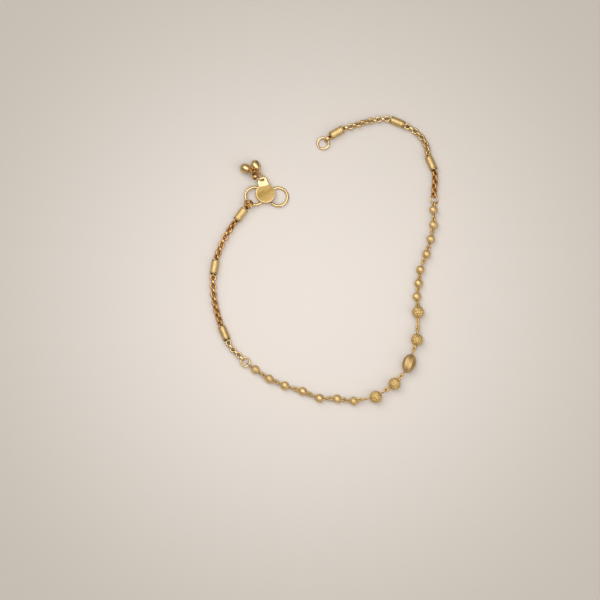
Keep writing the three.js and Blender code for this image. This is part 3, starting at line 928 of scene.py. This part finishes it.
@dataclass(frozen=True)
class Tube:
    """A hollow tube bead.

    Attributes:
        name: Its node.
        x: Place across the floor.
        y: Place up the floor.
        heading: Heading of its axis.
        radius: Its outer radius.
        bore: Its bore's radius.
        length: Its length.
        depth: How deep its bore is from each end.
        roll: Its roll about its axis.
        rim: How much of each end is plain.
    """

    name: str
    x: float
    y: float
    heading: float
    radius: float = 1.4
    bore: float = 1.17
    length: float = 4.95
    depth: float = 1.7
    roll: float = 15.0
    rim: float = 0.48

    def middle(self, side: int, out: float) -> Floats:
        """Point on the tube's axis, out from its middle towards one side."""
        return np.array([self.x, self.y, self.radius]) + heading_vector(self.heading) * side * out

    def surface(self) -> Surface:
        """Build the tube about X.

        Between two plain rims the skin is dimpled in staggered rows: at x along and a round it
        is drawn in by d (1 + cos(k x) cos(n a))^2 / 4. The bore is blind at both ends.

        Returns:
            The tube.
        """
        end, wall = self.length / 2, self.length / 2 - self.depth
        turn = around(80)[None]
        along = np.linspace(-end + self.rim, end - self.rim, 61)[:, None]
        fade = smooth_step((end - self.rim - np.abs(along)) / 0.25)
        wave = np.cos(TAU * along / DIMPLE_PITCH) * np.cos(DIMPLES_ROUND * turn)
        dimple = (1 + wave) ** 2 / 4
        rim = np.array(TUBE_RIM)
        lip = np.stack([end - rim[:, 0], self.radius + rim[:, 1]], 1)
        inner = np.array([[end - 0.02, self.bore + 0.02], [end - 0.12, self.bore],
                          [end - 0.8, self.bore], [wall, self.bore], [wall, 0.3]])
        half = np.concatenate([lip, inner])
        mouths = [about_x(part[:, :1], part[:, 1:], turn) for part in (half[::-1] * [-1, 1], half)]
        skin_radius = self.radius - SKIN_INSET - DIMPLE_DEPTH * dimple * fade
        grid = np.concatenate([mouths[0], about_x(along, skin_radius, turn), mouths[1]])
        # Painted shade: each row of the rim's groove and the bore by TUBE_SHADE, and the dimples
        # by their depth.
        deep = np.repeat(np.array(TUBE_SHADE)[:, None], turn.size, 1)
        return skin(grid, np.concatenate([deep[::-1], DIMPLE_SHADE * dimple * fade, deep]))


@dataclass(frozen=True)
class ChainRun:
    """A run of links between two pieces.

    Attributes:
        name: Its node.
        start: The piece that it starts on.
        stop: The piece that it ends on.
        headings: Headings at its first and last link.
        rolls: Rolls of its first and last link.
        finish: Its metal, which is paler on some runs.
        shading: How much painted shade the insides of its links take.
    """

    name: str
    start: str
    stop: str
    headings: tuple[float, float]
    rolls: tuple[float, float]
    finish: GoldFinish = COPPERY
    shading: float = 1.0


TUBES = (
    Tube("tube_1", -29.1, 16.3, -126),
    Tube("tube_2", -38.2, -2.55, -99.7),
    Tube("tube_3", -34.8, -26.1, -67.4),
    Tube("tube_4", 37.7, 34.7, 113.4),
    Tube("tube_5", 25.9, 49.5, 156.7),
    Tube("tube_6", 4.6, 45.8, -149.4),
)
# Where a run's last number is given, it is how much painted shade the insides of its links take.
CHAINS = (
    ChainRun("chain_1", "tube_1", "tube_2", (-126, -108), (45, 50)),
    ChainRun("chain_2", "tube_2", "tube_3", (-92, -72), (0, 50)),
    ChainRun("chain_3", "tube_3", "connector_ring_1", (-66, -48), (0, 98), POLISHED),
    ChainRun("chain_4", "connector_ring_2", "tube_4", (90, 96), (130, 45)),
    ChainRun("chain_5", "tube_4", "tube_5", (93, 153), (45, 0), POLISHED, 0.4),
    ChainRun("chain_6", "tube_5", "tube_6", (178, 194), (0, 90), POLISHED, 0.4),
)


@dataclass(frozen=True)
class Link:
    """The round band link of the chain.

    Attributes:
        radius: Its outer radius.
        thickness: Thickness of its band outside the runs.
        width: Width of the band.
        pitch: From one link of a run to the next.
        inset: From a tube's mouth to the band of the link in it.
        height: Height of the chain's middle.
        band: Thickness of its band in a run.
    """

    radius: float = 1.22
    thickness: float = 0.44
    width: float = 1.0
    pitch: float = 1.53
    inset: float = 0.15
    height: float = 1.32
    band: float = 0.74

    @property
    def wire_radius(self) -> float:
        """Radius of the middle of the link's band."""
        return self.radius - self.thickness / 2

    @property
    def clear_hole(self) -> float:
        """How far out the link's hole is clear, at the middle of its straight sides."""
        return (self.radius - self.thickness) * CLEAR_SHARE

    def surface(self, band: float | None = None, shading: float = 1.0) -> Surface:
        """Build the link about Z.

        Its section is a cushion shape, (t/2 s(cos b), w/2 s(sin b)) with s(v) = sign(v) |v|^p,
        a little flatter outside than inside. The inside takes painted shade, as a recess does.

        Args:
            band: Thickness of the band, if it isn't that of a link in a run.
            shading: How much painted shade the inside of the band takes.

        Returns:
            The link.
        """
        thick = self.band if band is None else band
        turn, section = around(40)[:, None], around(16)[None]
        cosine, sine = np.cos(section), np.sin(section)
        out = cushioned(cosine, np.where(cosine > 0, 0.6, 1.0)) * thick / 2
        high = cushioned(sine, 0.8) * self.width / 2 * np.ones_like(turn)
        distance = self.radius - thick / 2 + out
        grid = np.stack([distance * np.cos(turn), distance * np.sin(turn), high], 2)
        # Painted shade on the inside of the band, as in a recess.
        shade = shading * np.repeat(smooth_step(0.1 - cosine), turn.size, 0)
        return skin(grid, shade, closed_rows=True)


LINK = Link()
TUBE_EYE_WIRE = 0.42
ROUTE_POINTS = 1201


@dataclass(frozen=True)
class EyeTarget:
    """What a tube's eye reaches to: a point, how far its tip goes, and its roll."""

    point: Floats
    reach: float
    roll: float


@dataclass
class Chainwork:
    """The tubes and the runs of chain between them.

    Attributes:
        tubes: The tube beads in order along the strand.
        runs: The chain runs.
        eye_width: Width of a tube's eye.
        eye_reach: How far an eye reaches from the mouth of its tube.
        pull: How far a run's handles stand from its ends, as a share of the distance.
    """

    tubes: tuple[Tube, ...] = TUBES
    runs: tuple[ChainRun, ...] = CHAINS
    eye_width: float = 1.84
    eye_reach: float = 1.4
    pull: float = 0.36

    def build(self, clasp: EyeTarget, end: EyeTarget) -> None:
        """Make the tubes with their eyes, and the chains.

        Args:
            clasp: What the first tube's eye reaches to.
            end: What the last tube's eye reaches to.
        """
        for tube in self.tubes:
            frame = strand_frame(tube.middle(1, 0), heading_vector(tube.heading), tube.roll)
            surfaces = [tube.surface().placed(frame)]
            for side in (-1, 1):
                target = self._target(tube, side) or (clasp if side < 0 else end)
                surfaces.append(self._eye(tube, side, target))
            make_piece("hollow_" + tube.name, surfaces, [HAMMERED, TONED], tube.name)
        for run in self.runs:
            make_piece("rolo_" + run.name, self._links(run), [run.finish], run.name)

    def _target(self, tube: Tube, side: int) -> EyeTarget | None:
        """Find the chain that a tube's eye reaches to.

        Args:
            tube: The tube.
            side: The tube's side.

        Returns:
            What the eye reaches to, or none where that end carries no chain.
        """
        for run in self.runs:
            if (run.start if side > 0 else run.stop) == tube.name:
                roll = run.rolls[0] + 90 if side > 0 else 90 - run.rolls[1]
                return EyeTarget(tube.middle(side, tube.length), self.eye_reach, roll)
        return None

    def _eye(self, tube: Tube, side: int, target: EyeTarget) -> Surface:
        """Build the eye at one mouth of a tube.

        Args:
            tube: The tube.
            side: The tube's side.
            target: What the eye reaches to.

        Returns:
            The eye.
        """
        mouth = tube.middle(side, tube.length / 2)
        half = (self.eye_width - TUBE_EYE_WIRE) / 2
        eye = eye_loop(TUBE_EYE_WIRE, self.eye_width, -tube.depth - 0.2, -tube.depth,
                       target.reach, half)
        return eye.placed(strand_frame(mouth, target.point - mouth, target.roll))

    def _mouth(self, name: str, heading: float, side: int) -> Floats:
        """Find where a run meets a tube or a connector ring.

        Args:
            name: The tube's or the ring's node.
            heading: The run's heading there.
            side: 1 where the run starts and -1 where it ends.

        Returns:
            The middle of the run's outermost link.
        """
        for tube in self.tubes:
            if tube.name == name:
                point = tube.middle(side, tube.length / 2 + LINK.inset + LINK.thickness / 2)
                point[2] = LINK.height
                return point + heading_vector(heading) * side * LINK.wire_radius
        place = FIRST_CONNECTOR if FIRST_CONNECTOR.name == name else SECOND_CONNECTOR
        hole = (place.radius - place.thickness) * CLEAR_SHARE
        out = side * (hole + LINK.radius - LINK.thickness - PLAY)
        return np.array([place.x, place.y, LINK.height]) + heading_vector(heading) * out

    def _route(self, run: ChainRun) -> Floats:
        """Follow the run's middle line, finely.

        It is the cubic curve (1-u)^3 A + 3 (1-u)^2 u B + 3 (1-u) u^2 C + u^3 D, whose handles B
        and C stand a share of the distance along the end headings.

        Args:
            run: The chain run.

        Returns:
            Points along it, one row each.
        """
        start = self._mouth(run.start, run.headings[0], 1)
        stop = self._mouth(run.stop, run.headings[1], -1)
        reach = float(np.linalg.norm(stop - start)) * self.pull
        first = start + heading_vector(run.headings[0]) * reach
        second = stop - heading_vector(run.headings[1]) * reach
        u = np.linspace(0, 1, ROUTE_POINTS)[:, None]
        return ((1 - u) ** 3 * start + 3 * (1 - u) ** 2 * u * first
                + 3 * (1 - u) * u**2 * second + u**3 * stop)

    def _links(self, run: ChainRun) -> list[Surface]:
        """Lay the links of a run, each a quarter turn on from the one before.

        Args:
            run: The chain run.

        Returns:
            Its links.
        """
        route = self._route(run)
        strides = np.linalg.norm(np.diff(route, axis=0), axis=1)
        travelled = np.concatenate([[0], np.cumsum(strides)])
        length = float(travelled[-1])
        steps = int(round(length / LINK.pitch))
        unwound = run.rolls[1] - run.rolls[0] - 90 * steps
        twist = unwound - 180 * round(unwound / 180)
        tangents = np.gradient(route, axis=0)
        link = LINK.surface(shading=run.shading).scaled(length / steps / LINK.pitch)
        links = []
        for number in range(steps + 1):
            share = number / steps
            place, way = (np.array([np.interp(share * length, travelled, values[:, k])
                                    for k in range(3)]) for values in (route, tangents))
            roll = run.rolls[0] + 90 * number + twist * share
            links.append(link.placed(strand_frame(place, way, roll)))
        return links


# The clasp and its drops


# The tab's section from the slot to the outline and back: share of the way and of the thickness.
TAB_SECTION = ((0.0, 0.10), (0.0, 0.9), (0.10, 1.0), (0.45, 1.06), (0.80, 1.0), (0.95, 0.86),
               (1.0, 0.6), (1.0, 0.2), (0.9, 0.0), (0.12, 0.0))
# The brushed plate from its middle outwards: share of its radius, and how far it lies down.
PLATE_CROWN = ((0.0, 0.0), (0.25, 0.0), (0.5, 0.002), (0.75, 0.006), (0.93, 0.012),
               (0.985, 0.022), (1.0, 0.05), (1.0, 0.2))


@dataclass
class Hook:
    """The figure-eight hook with its disc and tab, and the ring that joins it to the chain.

    The place is the middle of the wire under the disc, and the lifts are its tilt. A loop is the
    middle, radius, start and stop of its arc. The disc and the tab are measured in the hook's
    frame, and the slot from the tab's start. The joining ring is a split ring of two coils, with
    a spare link on it.
    """

    wire: float = 1.0
    place: Row = (-20.45, 23.75, 0.96)
    lift_front: float = 2.2
    lift_left: float = 3.2
    open_loop: Row = (4.53, -0.93, 3.27, -131.0, 141.0)
    fixed_loop: Row = (-3.73, -0.77, 3.22, 321.0, 60.0)
    disc_radius: float = 3.5
    disc_low: float = 0.28
    disc_top: float = 1.38
    disc_sides: int = 96
    disc_core: float = 0.4
    plate_edge: float = 0.335
    upper_edge: float = 0.24
    lower_edge: float = 0.15
    tab_heading: float = 102.0
    tab_start: float = 2.5
    tab_height: float = 0.8
    tab_rise: float = 8.0
    tab_length: float = 3.5
    tab_base: float = 4.3
    tab_width: float = 3.1
    tab_thickness: float = 0.6
    slot_middle: float = 2.4
    slot_length: float = 1.2
    slot_width: float = 0.66
    ring_radius: float = 1.72
    ring_wire: float = 0.54
    ring_roll: float = 46.0
    ring_seam: float = 75.0
    coil_lift: float = 0.27
    loop_angle: float = 238.0
    eye_roll: float = 40.0
    spare_link: Row = (-26.93, 20.25, 2.42)
    spare_tilt: float = -8.0
    spare_band: float = 0.5

    def frame(self) -> Floats:
        """Frame of the hook's wire, under the middle of the disc."""
        tilt = turned(0, -self.lift_front) @ turned(1, self.lift_left)
        return moved(*self.place) @ tilt

    def tab_frame(self) -> Floats:
        """Frame of the tab, whose X points out from the disc."""
        rise = turned(1, -self.tab_rise)
        return turned(2, self.tab_heading) @ moved(self.tab_start, 0, self.tab_height) @ rise

    def slot_point(self) -> Floats:
        """Middle of the tab's slot, in the anklet's frame."""
        frame = self.frame() @ self.tab_frame()
        return (frame @ np.array([self.slot_middle, 0, self.tab_thickness / 2, 1.0]))[:3]

    def build(self) -> EyeTarget:
        """Make the hook and its joining ring.

        Returns:
            What the first tube's eye reaches to.
        """
        path = np.concatenate([arc(*self.open_loop, 60), arc(*self.fixed_loop, 60)])
        surfaces = [wire(path, self.wire, sides=20), *self._disc(), self._tab()]
        placed = [part.placed(self.frame()) for part in surfaces]
        make_piece("figure_eight_hook", placed, [POLISHED, BRUSHED], "hook",
                   crease=35.0)
        return self._joining_ring()

    def _disc(self) -> list[Surface]:
        """Build the disc about Z: its body with rounded edges, and the brushed plate in it.

        Each profile is rows of height and distance out, and the plate is crowned by a few
        hundredths of a millimetre.

        Returns:
            The body and the plate.
        """
        low, top, radius, core = self.disc_low, self.disc_top, self.disc_radius, self.disc_core
        bend = np.radians(np.linspace(0, 90, 6))
        upper = np.stack([top - 0.03 - self.upper_edge * (1 - np.sin(bend)),
                          radius - self.upper_edge * (1 - np.cos(bend))], 1)
        lower = np.stack([low + self.lower_edge * (1 - np.sin(bend[::-1])),
                          radius - self.lower_edge * (1 - np.cos(bend[::-1]))], 1)
        under = np.array([[low, core], [low, radius - 0.5]])
        cover = np.array([[top - 0.04, radius - 0.36], [top - 0.12, radius - 0.40],
                          [top - 0.12, core]])
        share, down = np.array(PLATE_CROWN).T
        crown = np.stack([top - down, np.maximum(share * (radius - self.plate_edge), 0.05)], 1)
        profiles = (np.concatenate([under, lower, upper, cover]),
                    np.concatenate([crown, [[top - 0.2, core]]]))
        turn = around(self.disc_sides)
        body, plate = (skin(about_x(profile[:, :1], profile[:, 1:], turn)).placed(turned(1, -90))
                       for profile in profiles)
        return [body, replace(plate, finish=1)]

    def _tab(self) -> Surface:
        """Build the polished tab with its slot.

        Its slot and its outline are cushion curves, (a s(cos t), b s(sin t)) with
        s(v) = sign(v) |v|^p. The outline narrows evenly from the tab's base to its end, and a
        rounded section runs from the slot to the outline and back.

        Returns:
            The tab, in the hook's frame.
        """
        turn = around(96)
        half = self.tab_length / 2
        outer, inner = (
            np.stack([x + half_x * cushioned(np.cos(turn), power),
                      half_y * cushioned(np.sin(turn), power)], 1)
            for x, half_x, half_y, power in (
                (half, half, 0.5, 0.55),
                (self.slot_middle, self.slot_width / 2, self.slot_length / 2, 0.4))
        )
        narrowed = self.tab_base + (self.tab_width - self.tab_base) * outer[:, 0] / self.tab_length
        outer[:, 1] *= narrowed
        rows = [np.column_stack([inner + (outer - inner) * share,
                                 np.full(len(turn), high * self.tab_thickness)])
                for share, high in TAB_SECTION]
        return skin(np.stack(rows), closed_rows=True).placed(self.tab_frame())

    def _joining_ring(self) -> EyeTarget:
        """Make the split ring, and the spare link on it, that hold the hook to the first tube.

        Returns:
            What the first tube's eye reaches to.
        """
        local = np.append(arc(*self.fixed_loop[:3], self.loop_angle, 0, 1)[0], 1.0)
        on_loop = (self.frame() @ local)[:3]
        way = TUBES[0].middle(-1, TUBES[0].length / 2) - on_loop
        hole = (self.ring_radius - self.ring_wire) * CLEAR_SHARE
        to_loop = hole - self.wire / 2 - PLAY
        to_eye = hole - TUBE_EYE_WIRE / 2 - PLAY
        reach = float(np.linalg.norm(way)) - to_loop - to_eye + TUBE_EYE_WIRE / 2
        frame = strand_frame(on_loop + unit(way) * to_loop, way, self.ring_roll)
        coil = ring(self.ring_radius, self.ring_wire, self.ring_seam)
        coils = [coil.placed(frame @ moved(0, 0, side * self.coil_lift)) for side in (-1, 1)]
        spare_frame = moved(*self.spare_link) @ turned(0, self.spare_tilt)
        link = LINK.surface(self.spare_band).placed(spare_frame)
        make_piece("joining_ring", [*coils, link], [COPPERY], "clasp_ring")
        return EyeTarget(on_loop, reach, self.eye_roll)


def hooked(carrier: Floats, wire_radius: float, angle: float, swing: float) -> Floats:
    """Frame of a piece hooked on a ring: X points away from the ring, Z along its wire."""
    steps = turned(2, angle) @ moved(wire_radius) @ turned(0, 90) @ turned(2, swing)
    return carrier @ steps


@dataclass
class Drops:
    """The ring through the tab, the three links and the two slit bells.

    The first and third link and the second bell hang on the ring, the second link on the first,
    and the first bell on the second link. A link's or bell's place is its angle round the band or
    wire that carries it, and its swing. The second link's middle stands second_out from the first
    one's band. What carries a bell lies eye_grip inside the middle of the wire at its eye's tip.
    """

    ring_radius: float = 1.95
    ring_wire: float = 0.5
    ring_heading: float = 127.0
    ring_roll: float = 42.0
    ring_seam: float = 200.0
    first_link: Row = (34.0, 8.0)
    second_link: Row = (5.0, 6.0)
    second_out: float = 0.36
    third_link: Row = (79.0, -7.0)
    first_bell: Row = (30.0, 65.0)
    second_bell: Row = (-14.0, 13.0)
    radius: float = 1.72
    half_length: float = 2.0
    slit_start: float = 0.6
    slit_width: float = 0.36
    slit_depth: float = 0.45
    slit_ease: float = 0.25
    lip_rise: float = 0.035
    lip_width: float = 0.07
    eye_wire: float = 0.4
    eye_width: float = 1.7
    eye_reach: float = 1.22
    eye_grip: float = 0.64
    eye_root: float = 0.5
    eye_neck: float = 0.1
    eye_pinch: float = 0.3

    def build(self, slot: Floats) -> None:
        """Make the drops.

        Args:
            slot: Middle of the tab's slot.
        """
        wire_radius = self.ring_radius - self.ring_wire / 2
        away = heading_vector(self.ring_heading)
        frame = strand_frame(slot + away * wire_radius, away, self.ring_roll)
        jump_ring = ring(self.ring_radius, self.ring_wire, self.ring_seam).placed(frame)
        make_piece("jump_ring", [jump_ring], [POLISHED], "drop_ring")
        hang = moved(LINK.clear_hole - self.ring_wire / 2 - PLAY)
        first = hooked(frame, wire_radius, *self.first_link) @ hang
        second = hooked(first, LINK.wire_radius, *self.second_link) @ moved(self.second_out)
        third = hooked(frame, wire_radius, *self.third_link) @ hang
        for number, held in enumerate((first, second, third), 1):
            make_piece(f"round_link_{number}", [LINK.surface(LINK.thickness).placed(held)],
                       [COPPERY], f"drop_link_{number}")
        out = moved(self.half_length + self.eye_reach - self.eye_wire / 2 - self.eye_grip)
        bells = (hooked(second, LINK.wire_radius, *self.first_bell),
                 hooked(frame, wire_radius, *self.second_bell))
        for number, held in enumerate(bells, 1):
            placed = [part.placed(held @ out) for part in self._bell()]
            make_piece(f"slit_bell_{number}", placed, [POLISHED, COPPERY], f"bell_{number}")

    def _bell(self) -> list[Surface]:
        """Build a bell about X, with its slit at the far end and its eye at the near one.

        With b the latitude and a the longitude, a point is (L cos b cos a, R cos b sin a,
        R sin b). Where it lies between the lips of the slit it is drawn in towards the middle,
        and just outside them it is raised by a bell-shaped swelling, exp(-(distance / width)^2).

        Returns:
            The bell and its eye.
        """
        lip = np.arcsin(self.slit_width / 2 / self.radius)
        above = np.concatenate([[lip, lip + 0.012], np.linspace(lip + 0.05, np.pi / 2 - 0.04, 26)])
        inside = np.linspace(-lip + 0.002, lip - 0.002, 5)
        latitude = np.concatenate([-above[::-1], inside, above])[:, None]
        longitude = around(112)[None]
        x = self.half_length * np.cos(latitude) * np.cos(longitude)
        y = self.radius * np.cos(latitude) * np.sin(longitude)
        z = self.radius * np.sin(latitude) * np.ones_like(longitude)
        opened = smooth_step((x - self.slit_start + self.slit_ease) / self.slit_ease)
        between = np.abs(latitude) < lip
        drawn = 1.0 - self.slit_depth * opened * between
        swelling = np.exp(-(((np.abs(latitude) - lip) / self.lip_width) ** 2)) * ~between
        raised = 1.0 + self.lip_rise * opened * swelling
        # Painted shade inside the slit, where it is drawn in.
        body = skin(np.stack([x * drawn * raised, y * drawn * raised, z], 2), opened * between)
        end = self.half_length
        eye = eye_loop(self.eye_wire, self.eye_width, end - self.eye_root, end - self.eye_neck,
                       end + self.eye_reach, self.eye_pinch)
        return [body, eye.placed(turned(2, 180))]


@dataclass
class EndRing:
    """The small link and the plain ring that the hook fastens into.

    Attributes:
        link_scale: The link's size against that of the chain's.
        radius: The ring's outer radius.
        wire: The ring's wire.
        heading: Which way both lie from the last tube.
        out: From the tube's mouth to the ring's wire.
        held: Height at which the link holds the ring's near side, whose far side lies down.
        eye_reach: How far the tube's eye reaches.
        seam: Where the ring's wire is joined.
    """

    link_scale: float = 1.08
    radius: float = 2.35
    wire: float = 0.77
    heading: float = -136.0
    out: float = 1.38
    held: float = 1.15
    eye_reach: float = 1.3
    seam: float = 128.0

    def build(self) -> EyeTarget:
        """Make the link and the ring.

        Returns:
            What the last tube's eye reaches to.
        """
        mouth = TUBES[-1].middle(1, TUBES[-1].length / 2)
        away = heading_vector(self.heading)
        link_radius = LINK.radius * self.link_scale
        middle = mouth + away * (LINK.inset + link_radius)
        middle[2] = link_radius
        plain = LINK.surface(LINK.thickness).scaled(self.link_scale)
        link = plain.placed(strand_frame(middle, away, 90))
        make_piece("last_link", [link], [COPPERY], "end_link")
        held = mouth + away * (self.out + self.wire / 2)
        held[2] = self.held
        across = 2 * self.radius - self.wire
        slope = away.copy()
        slope[2] = -(self.held - self.wire / 2) / across
        slope = unit(slope)
        frame = strand_frame(held + slope * across / 2, slope, 0)
        surface = ring(self.radius, self.wire, self.seam).placed(frame)
        make_piece("plain_end_ring", [surface], [POLISHED], "end_ring")
        middle[2] = TUBES[-1].radius
        return EyeTarget(middle, self.eye_reach, 0.0)


# The studio


@dataclass(frozen=True)
class Softbox:
    """An area light: where it stands, what it points at, its size in metres and its power."""

    name: str
    place: Row
    aim: Row
    size: float
    power: float
    colour: Row


SOFTBOXES = (
    Softbox("key", (-0.48, 0.42, 0.85), (0.0, 0.0, 0.0), 0.80, 3.3, (1.0, 0.98, 0.95)),
    Softbox("overhead", (0.04, -0.12, 1.0), (0.0, 0.0, 0.0), 0.90, 3.9, (1.0, 0.99, 0.97)),
    Softbox("fill", (0.55, -0.38, 0.55), (0.0, 0.0, 0.0), 0.60, 1.3, (1.0, 0.97, 0.93)),
)


def stand(thing: bpy.types.Object, place: Vector, way: Vector) -> None:
    """Put a light or a camera in the scene.

    Args:
        thing: The light or the camera.
        place: Where it stands.
        way: Which way it looks.
    """
    thing.location = place
    thing.rotation_euler = way.to_track_quat("-Z", "Y").to_euler()
    bpy.context.scene.collection.objects.link(thing)


@dataclass
class Studio:
    """The floor, the lights and the camera.

    Attributes:
        elevation: How far above the floor the camera looks from, in degrees.
        distance: From the camera to what it looks at, in metres.
        aim: What it looks at, in metres.
        lens: Focal length in millimetres.
        sensor: The sensor's width in millimetres.
        nearest: Nearest thing that the camera shows, in metres.
        floor_half: Half the floor's width, in metres.
        floor_painted_pool: The floor's colour under the anklet, the bright middle of a painted
            pool of light.
        floor_painted_fade: Its colour at the edge, where the painted light has faded.
        painted_pool_reach: How far from the middle that colour is reached, in metres.
        room_light: Strength of the room's own light.
        room_low: Its colour at the horizon.
        room_high: Its colour overhead.
        room_range: How steeply up the way runs where the one colour and the other are reached.
    """

    elevation: float = 78.2
    distance: float = 3.5
    aim: Row = (-0.0083, -0.0140, 0.0)
    lens: float = 600.0
    sensor: float = 36.0
    nearest: float = 0.01
    floor_half: float = 6.0
    floor_painted_pool: Row = (0.855, 0.80, 0.765)
    floor_painted_fade: Row = (0.575, 0.535, 0.49)
    painted_pool_reach: float = 0.155
    room_light: float = 0.5
    room_low: Row = (0.16, 0.13, 0.10)
    room_high: Row = (0.98, 0.95, 0.90)
    room_range: Row = (0.05, 0.85)

    def build(self) -> None:
        """Set up the floor, the lights and the camera."""
        self._floor()
        self._world()
        for box in SOFTBOXES:
            light = bpy.data.lights.new(box.name, "AREA")
            light.shape = "SQUARE"
            light.size, light.energy, light.color = box.size, box.power, box.colour
            place = Vector(box.place)
            stand(bpy.data.objects.new(box.name, light), place, Vector(box.aim) - place)
        self._camera()
        bpy.context.scene.view_settings.view_transform = "Standard"

    def _floor(self) -> None:
        """Lay a large flat floor with a pool of light painted on it, so that its colour darkens
        gently away from the middle.
        """
        size = self.floor_half
        corners = [(-size, -size, 0), (size, -size, 0), (size, size, 0), (-size, size, 0)]
        mesh = bpy.data.meshes.new("floor")
        mesh.from_pydata(corners, [], [(0, 1, 2, 3)])
        floor = bpy.data.objects.new("floor", mesh)
        bpy.context.scene.collection.objects.link(floor)
        material = bpy.data.materials.new("pale_floor_painted_pool")
        material.use_nodes = True
        tree = material.node_tree
        place = add_node(tree, "ShaderNodeTexCoord", "Object", {})
        centred = add_node(tree, "ShaderNodeMapping", "Vector",
                           {"Location": (-self.aim[0], -self.aim[1], 0.0), "Vector": place})
        away = add_node(tree, "ShaderNodeVectorMath", "Value", {0: centred}, operation="LENGTH")
        # Painted light: the floor's colour fades from the bright middle of the pool towards its
        # edge.
        share = add_node(tree, "ShaderNodeMapRange", "Result",
                         {"From Max": self.painted_pool_reach, "Value": away},
                         interpolation_type="SMOOTHSTEP")
        feed(tree.nodes["Principled BSDF"], {
            "Roughness": 0.75,
            "Specular IOR Level": 0.2,
            "Base Color": mixed(tree, share, self.floor_painted_pool, self.floor_painted_fade),
        })
        mesh.materials.append(material)

    def _world(self) -> None:
        """Light the room evenly and softly, a little darker towards the horizon."""
        world = bpy.data.worlds.new("studio")
        bpy.context.scene.world = world
        world.use_nodes = True
        tree = world.node_tree
        way = add_node(tree, "ShaderNodeTexCoord", "Generated", {})
        height = add_node(tree, "ShaderNodeSeparateXYZ", "Z", {"Vector": way})
        share = ranged(tree, height, self.room_range, (0.0, 1.0))
        feed(tree.nodes["Background"], {
            "Strength": self.room_light,
            "Color": mixed(tree, share, self.room_low, self.room_high),
        })

    def _camera(self) -> None:
        """Stand the camera at the photograph's angle."""
        data = bpy.data.cameras.new("camera")
        data.lens, data.sensor_width, data.clip_start = self.lens, self.sensor, self.nearest
        camera = bpy.data.objects.new("camera", data)
        angle = np.radians(self.elevation)
        back = Vector((0.0, -np.cos(angle), np.sin(angle))) * self.distance
        stand(camera, Vector(self.aim) + back, -back)
        bpy.context.scene.camera = camera


def main() -> None:
    """Load the frame, build every sub-assembly in order, and note the sizes."""
    logging.basicConfig(level=logging.INFO, format="%(name)s: %(message)s")
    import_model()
    Studio().build()
    hook = Hook()
    clasp = hook.build()
    Drops().build(hook.slot_point())
    end = EndRing().build()
    Chainwork().build(clasp, end)
    BeadString().build()


if __name__ == "__main__":
    main()
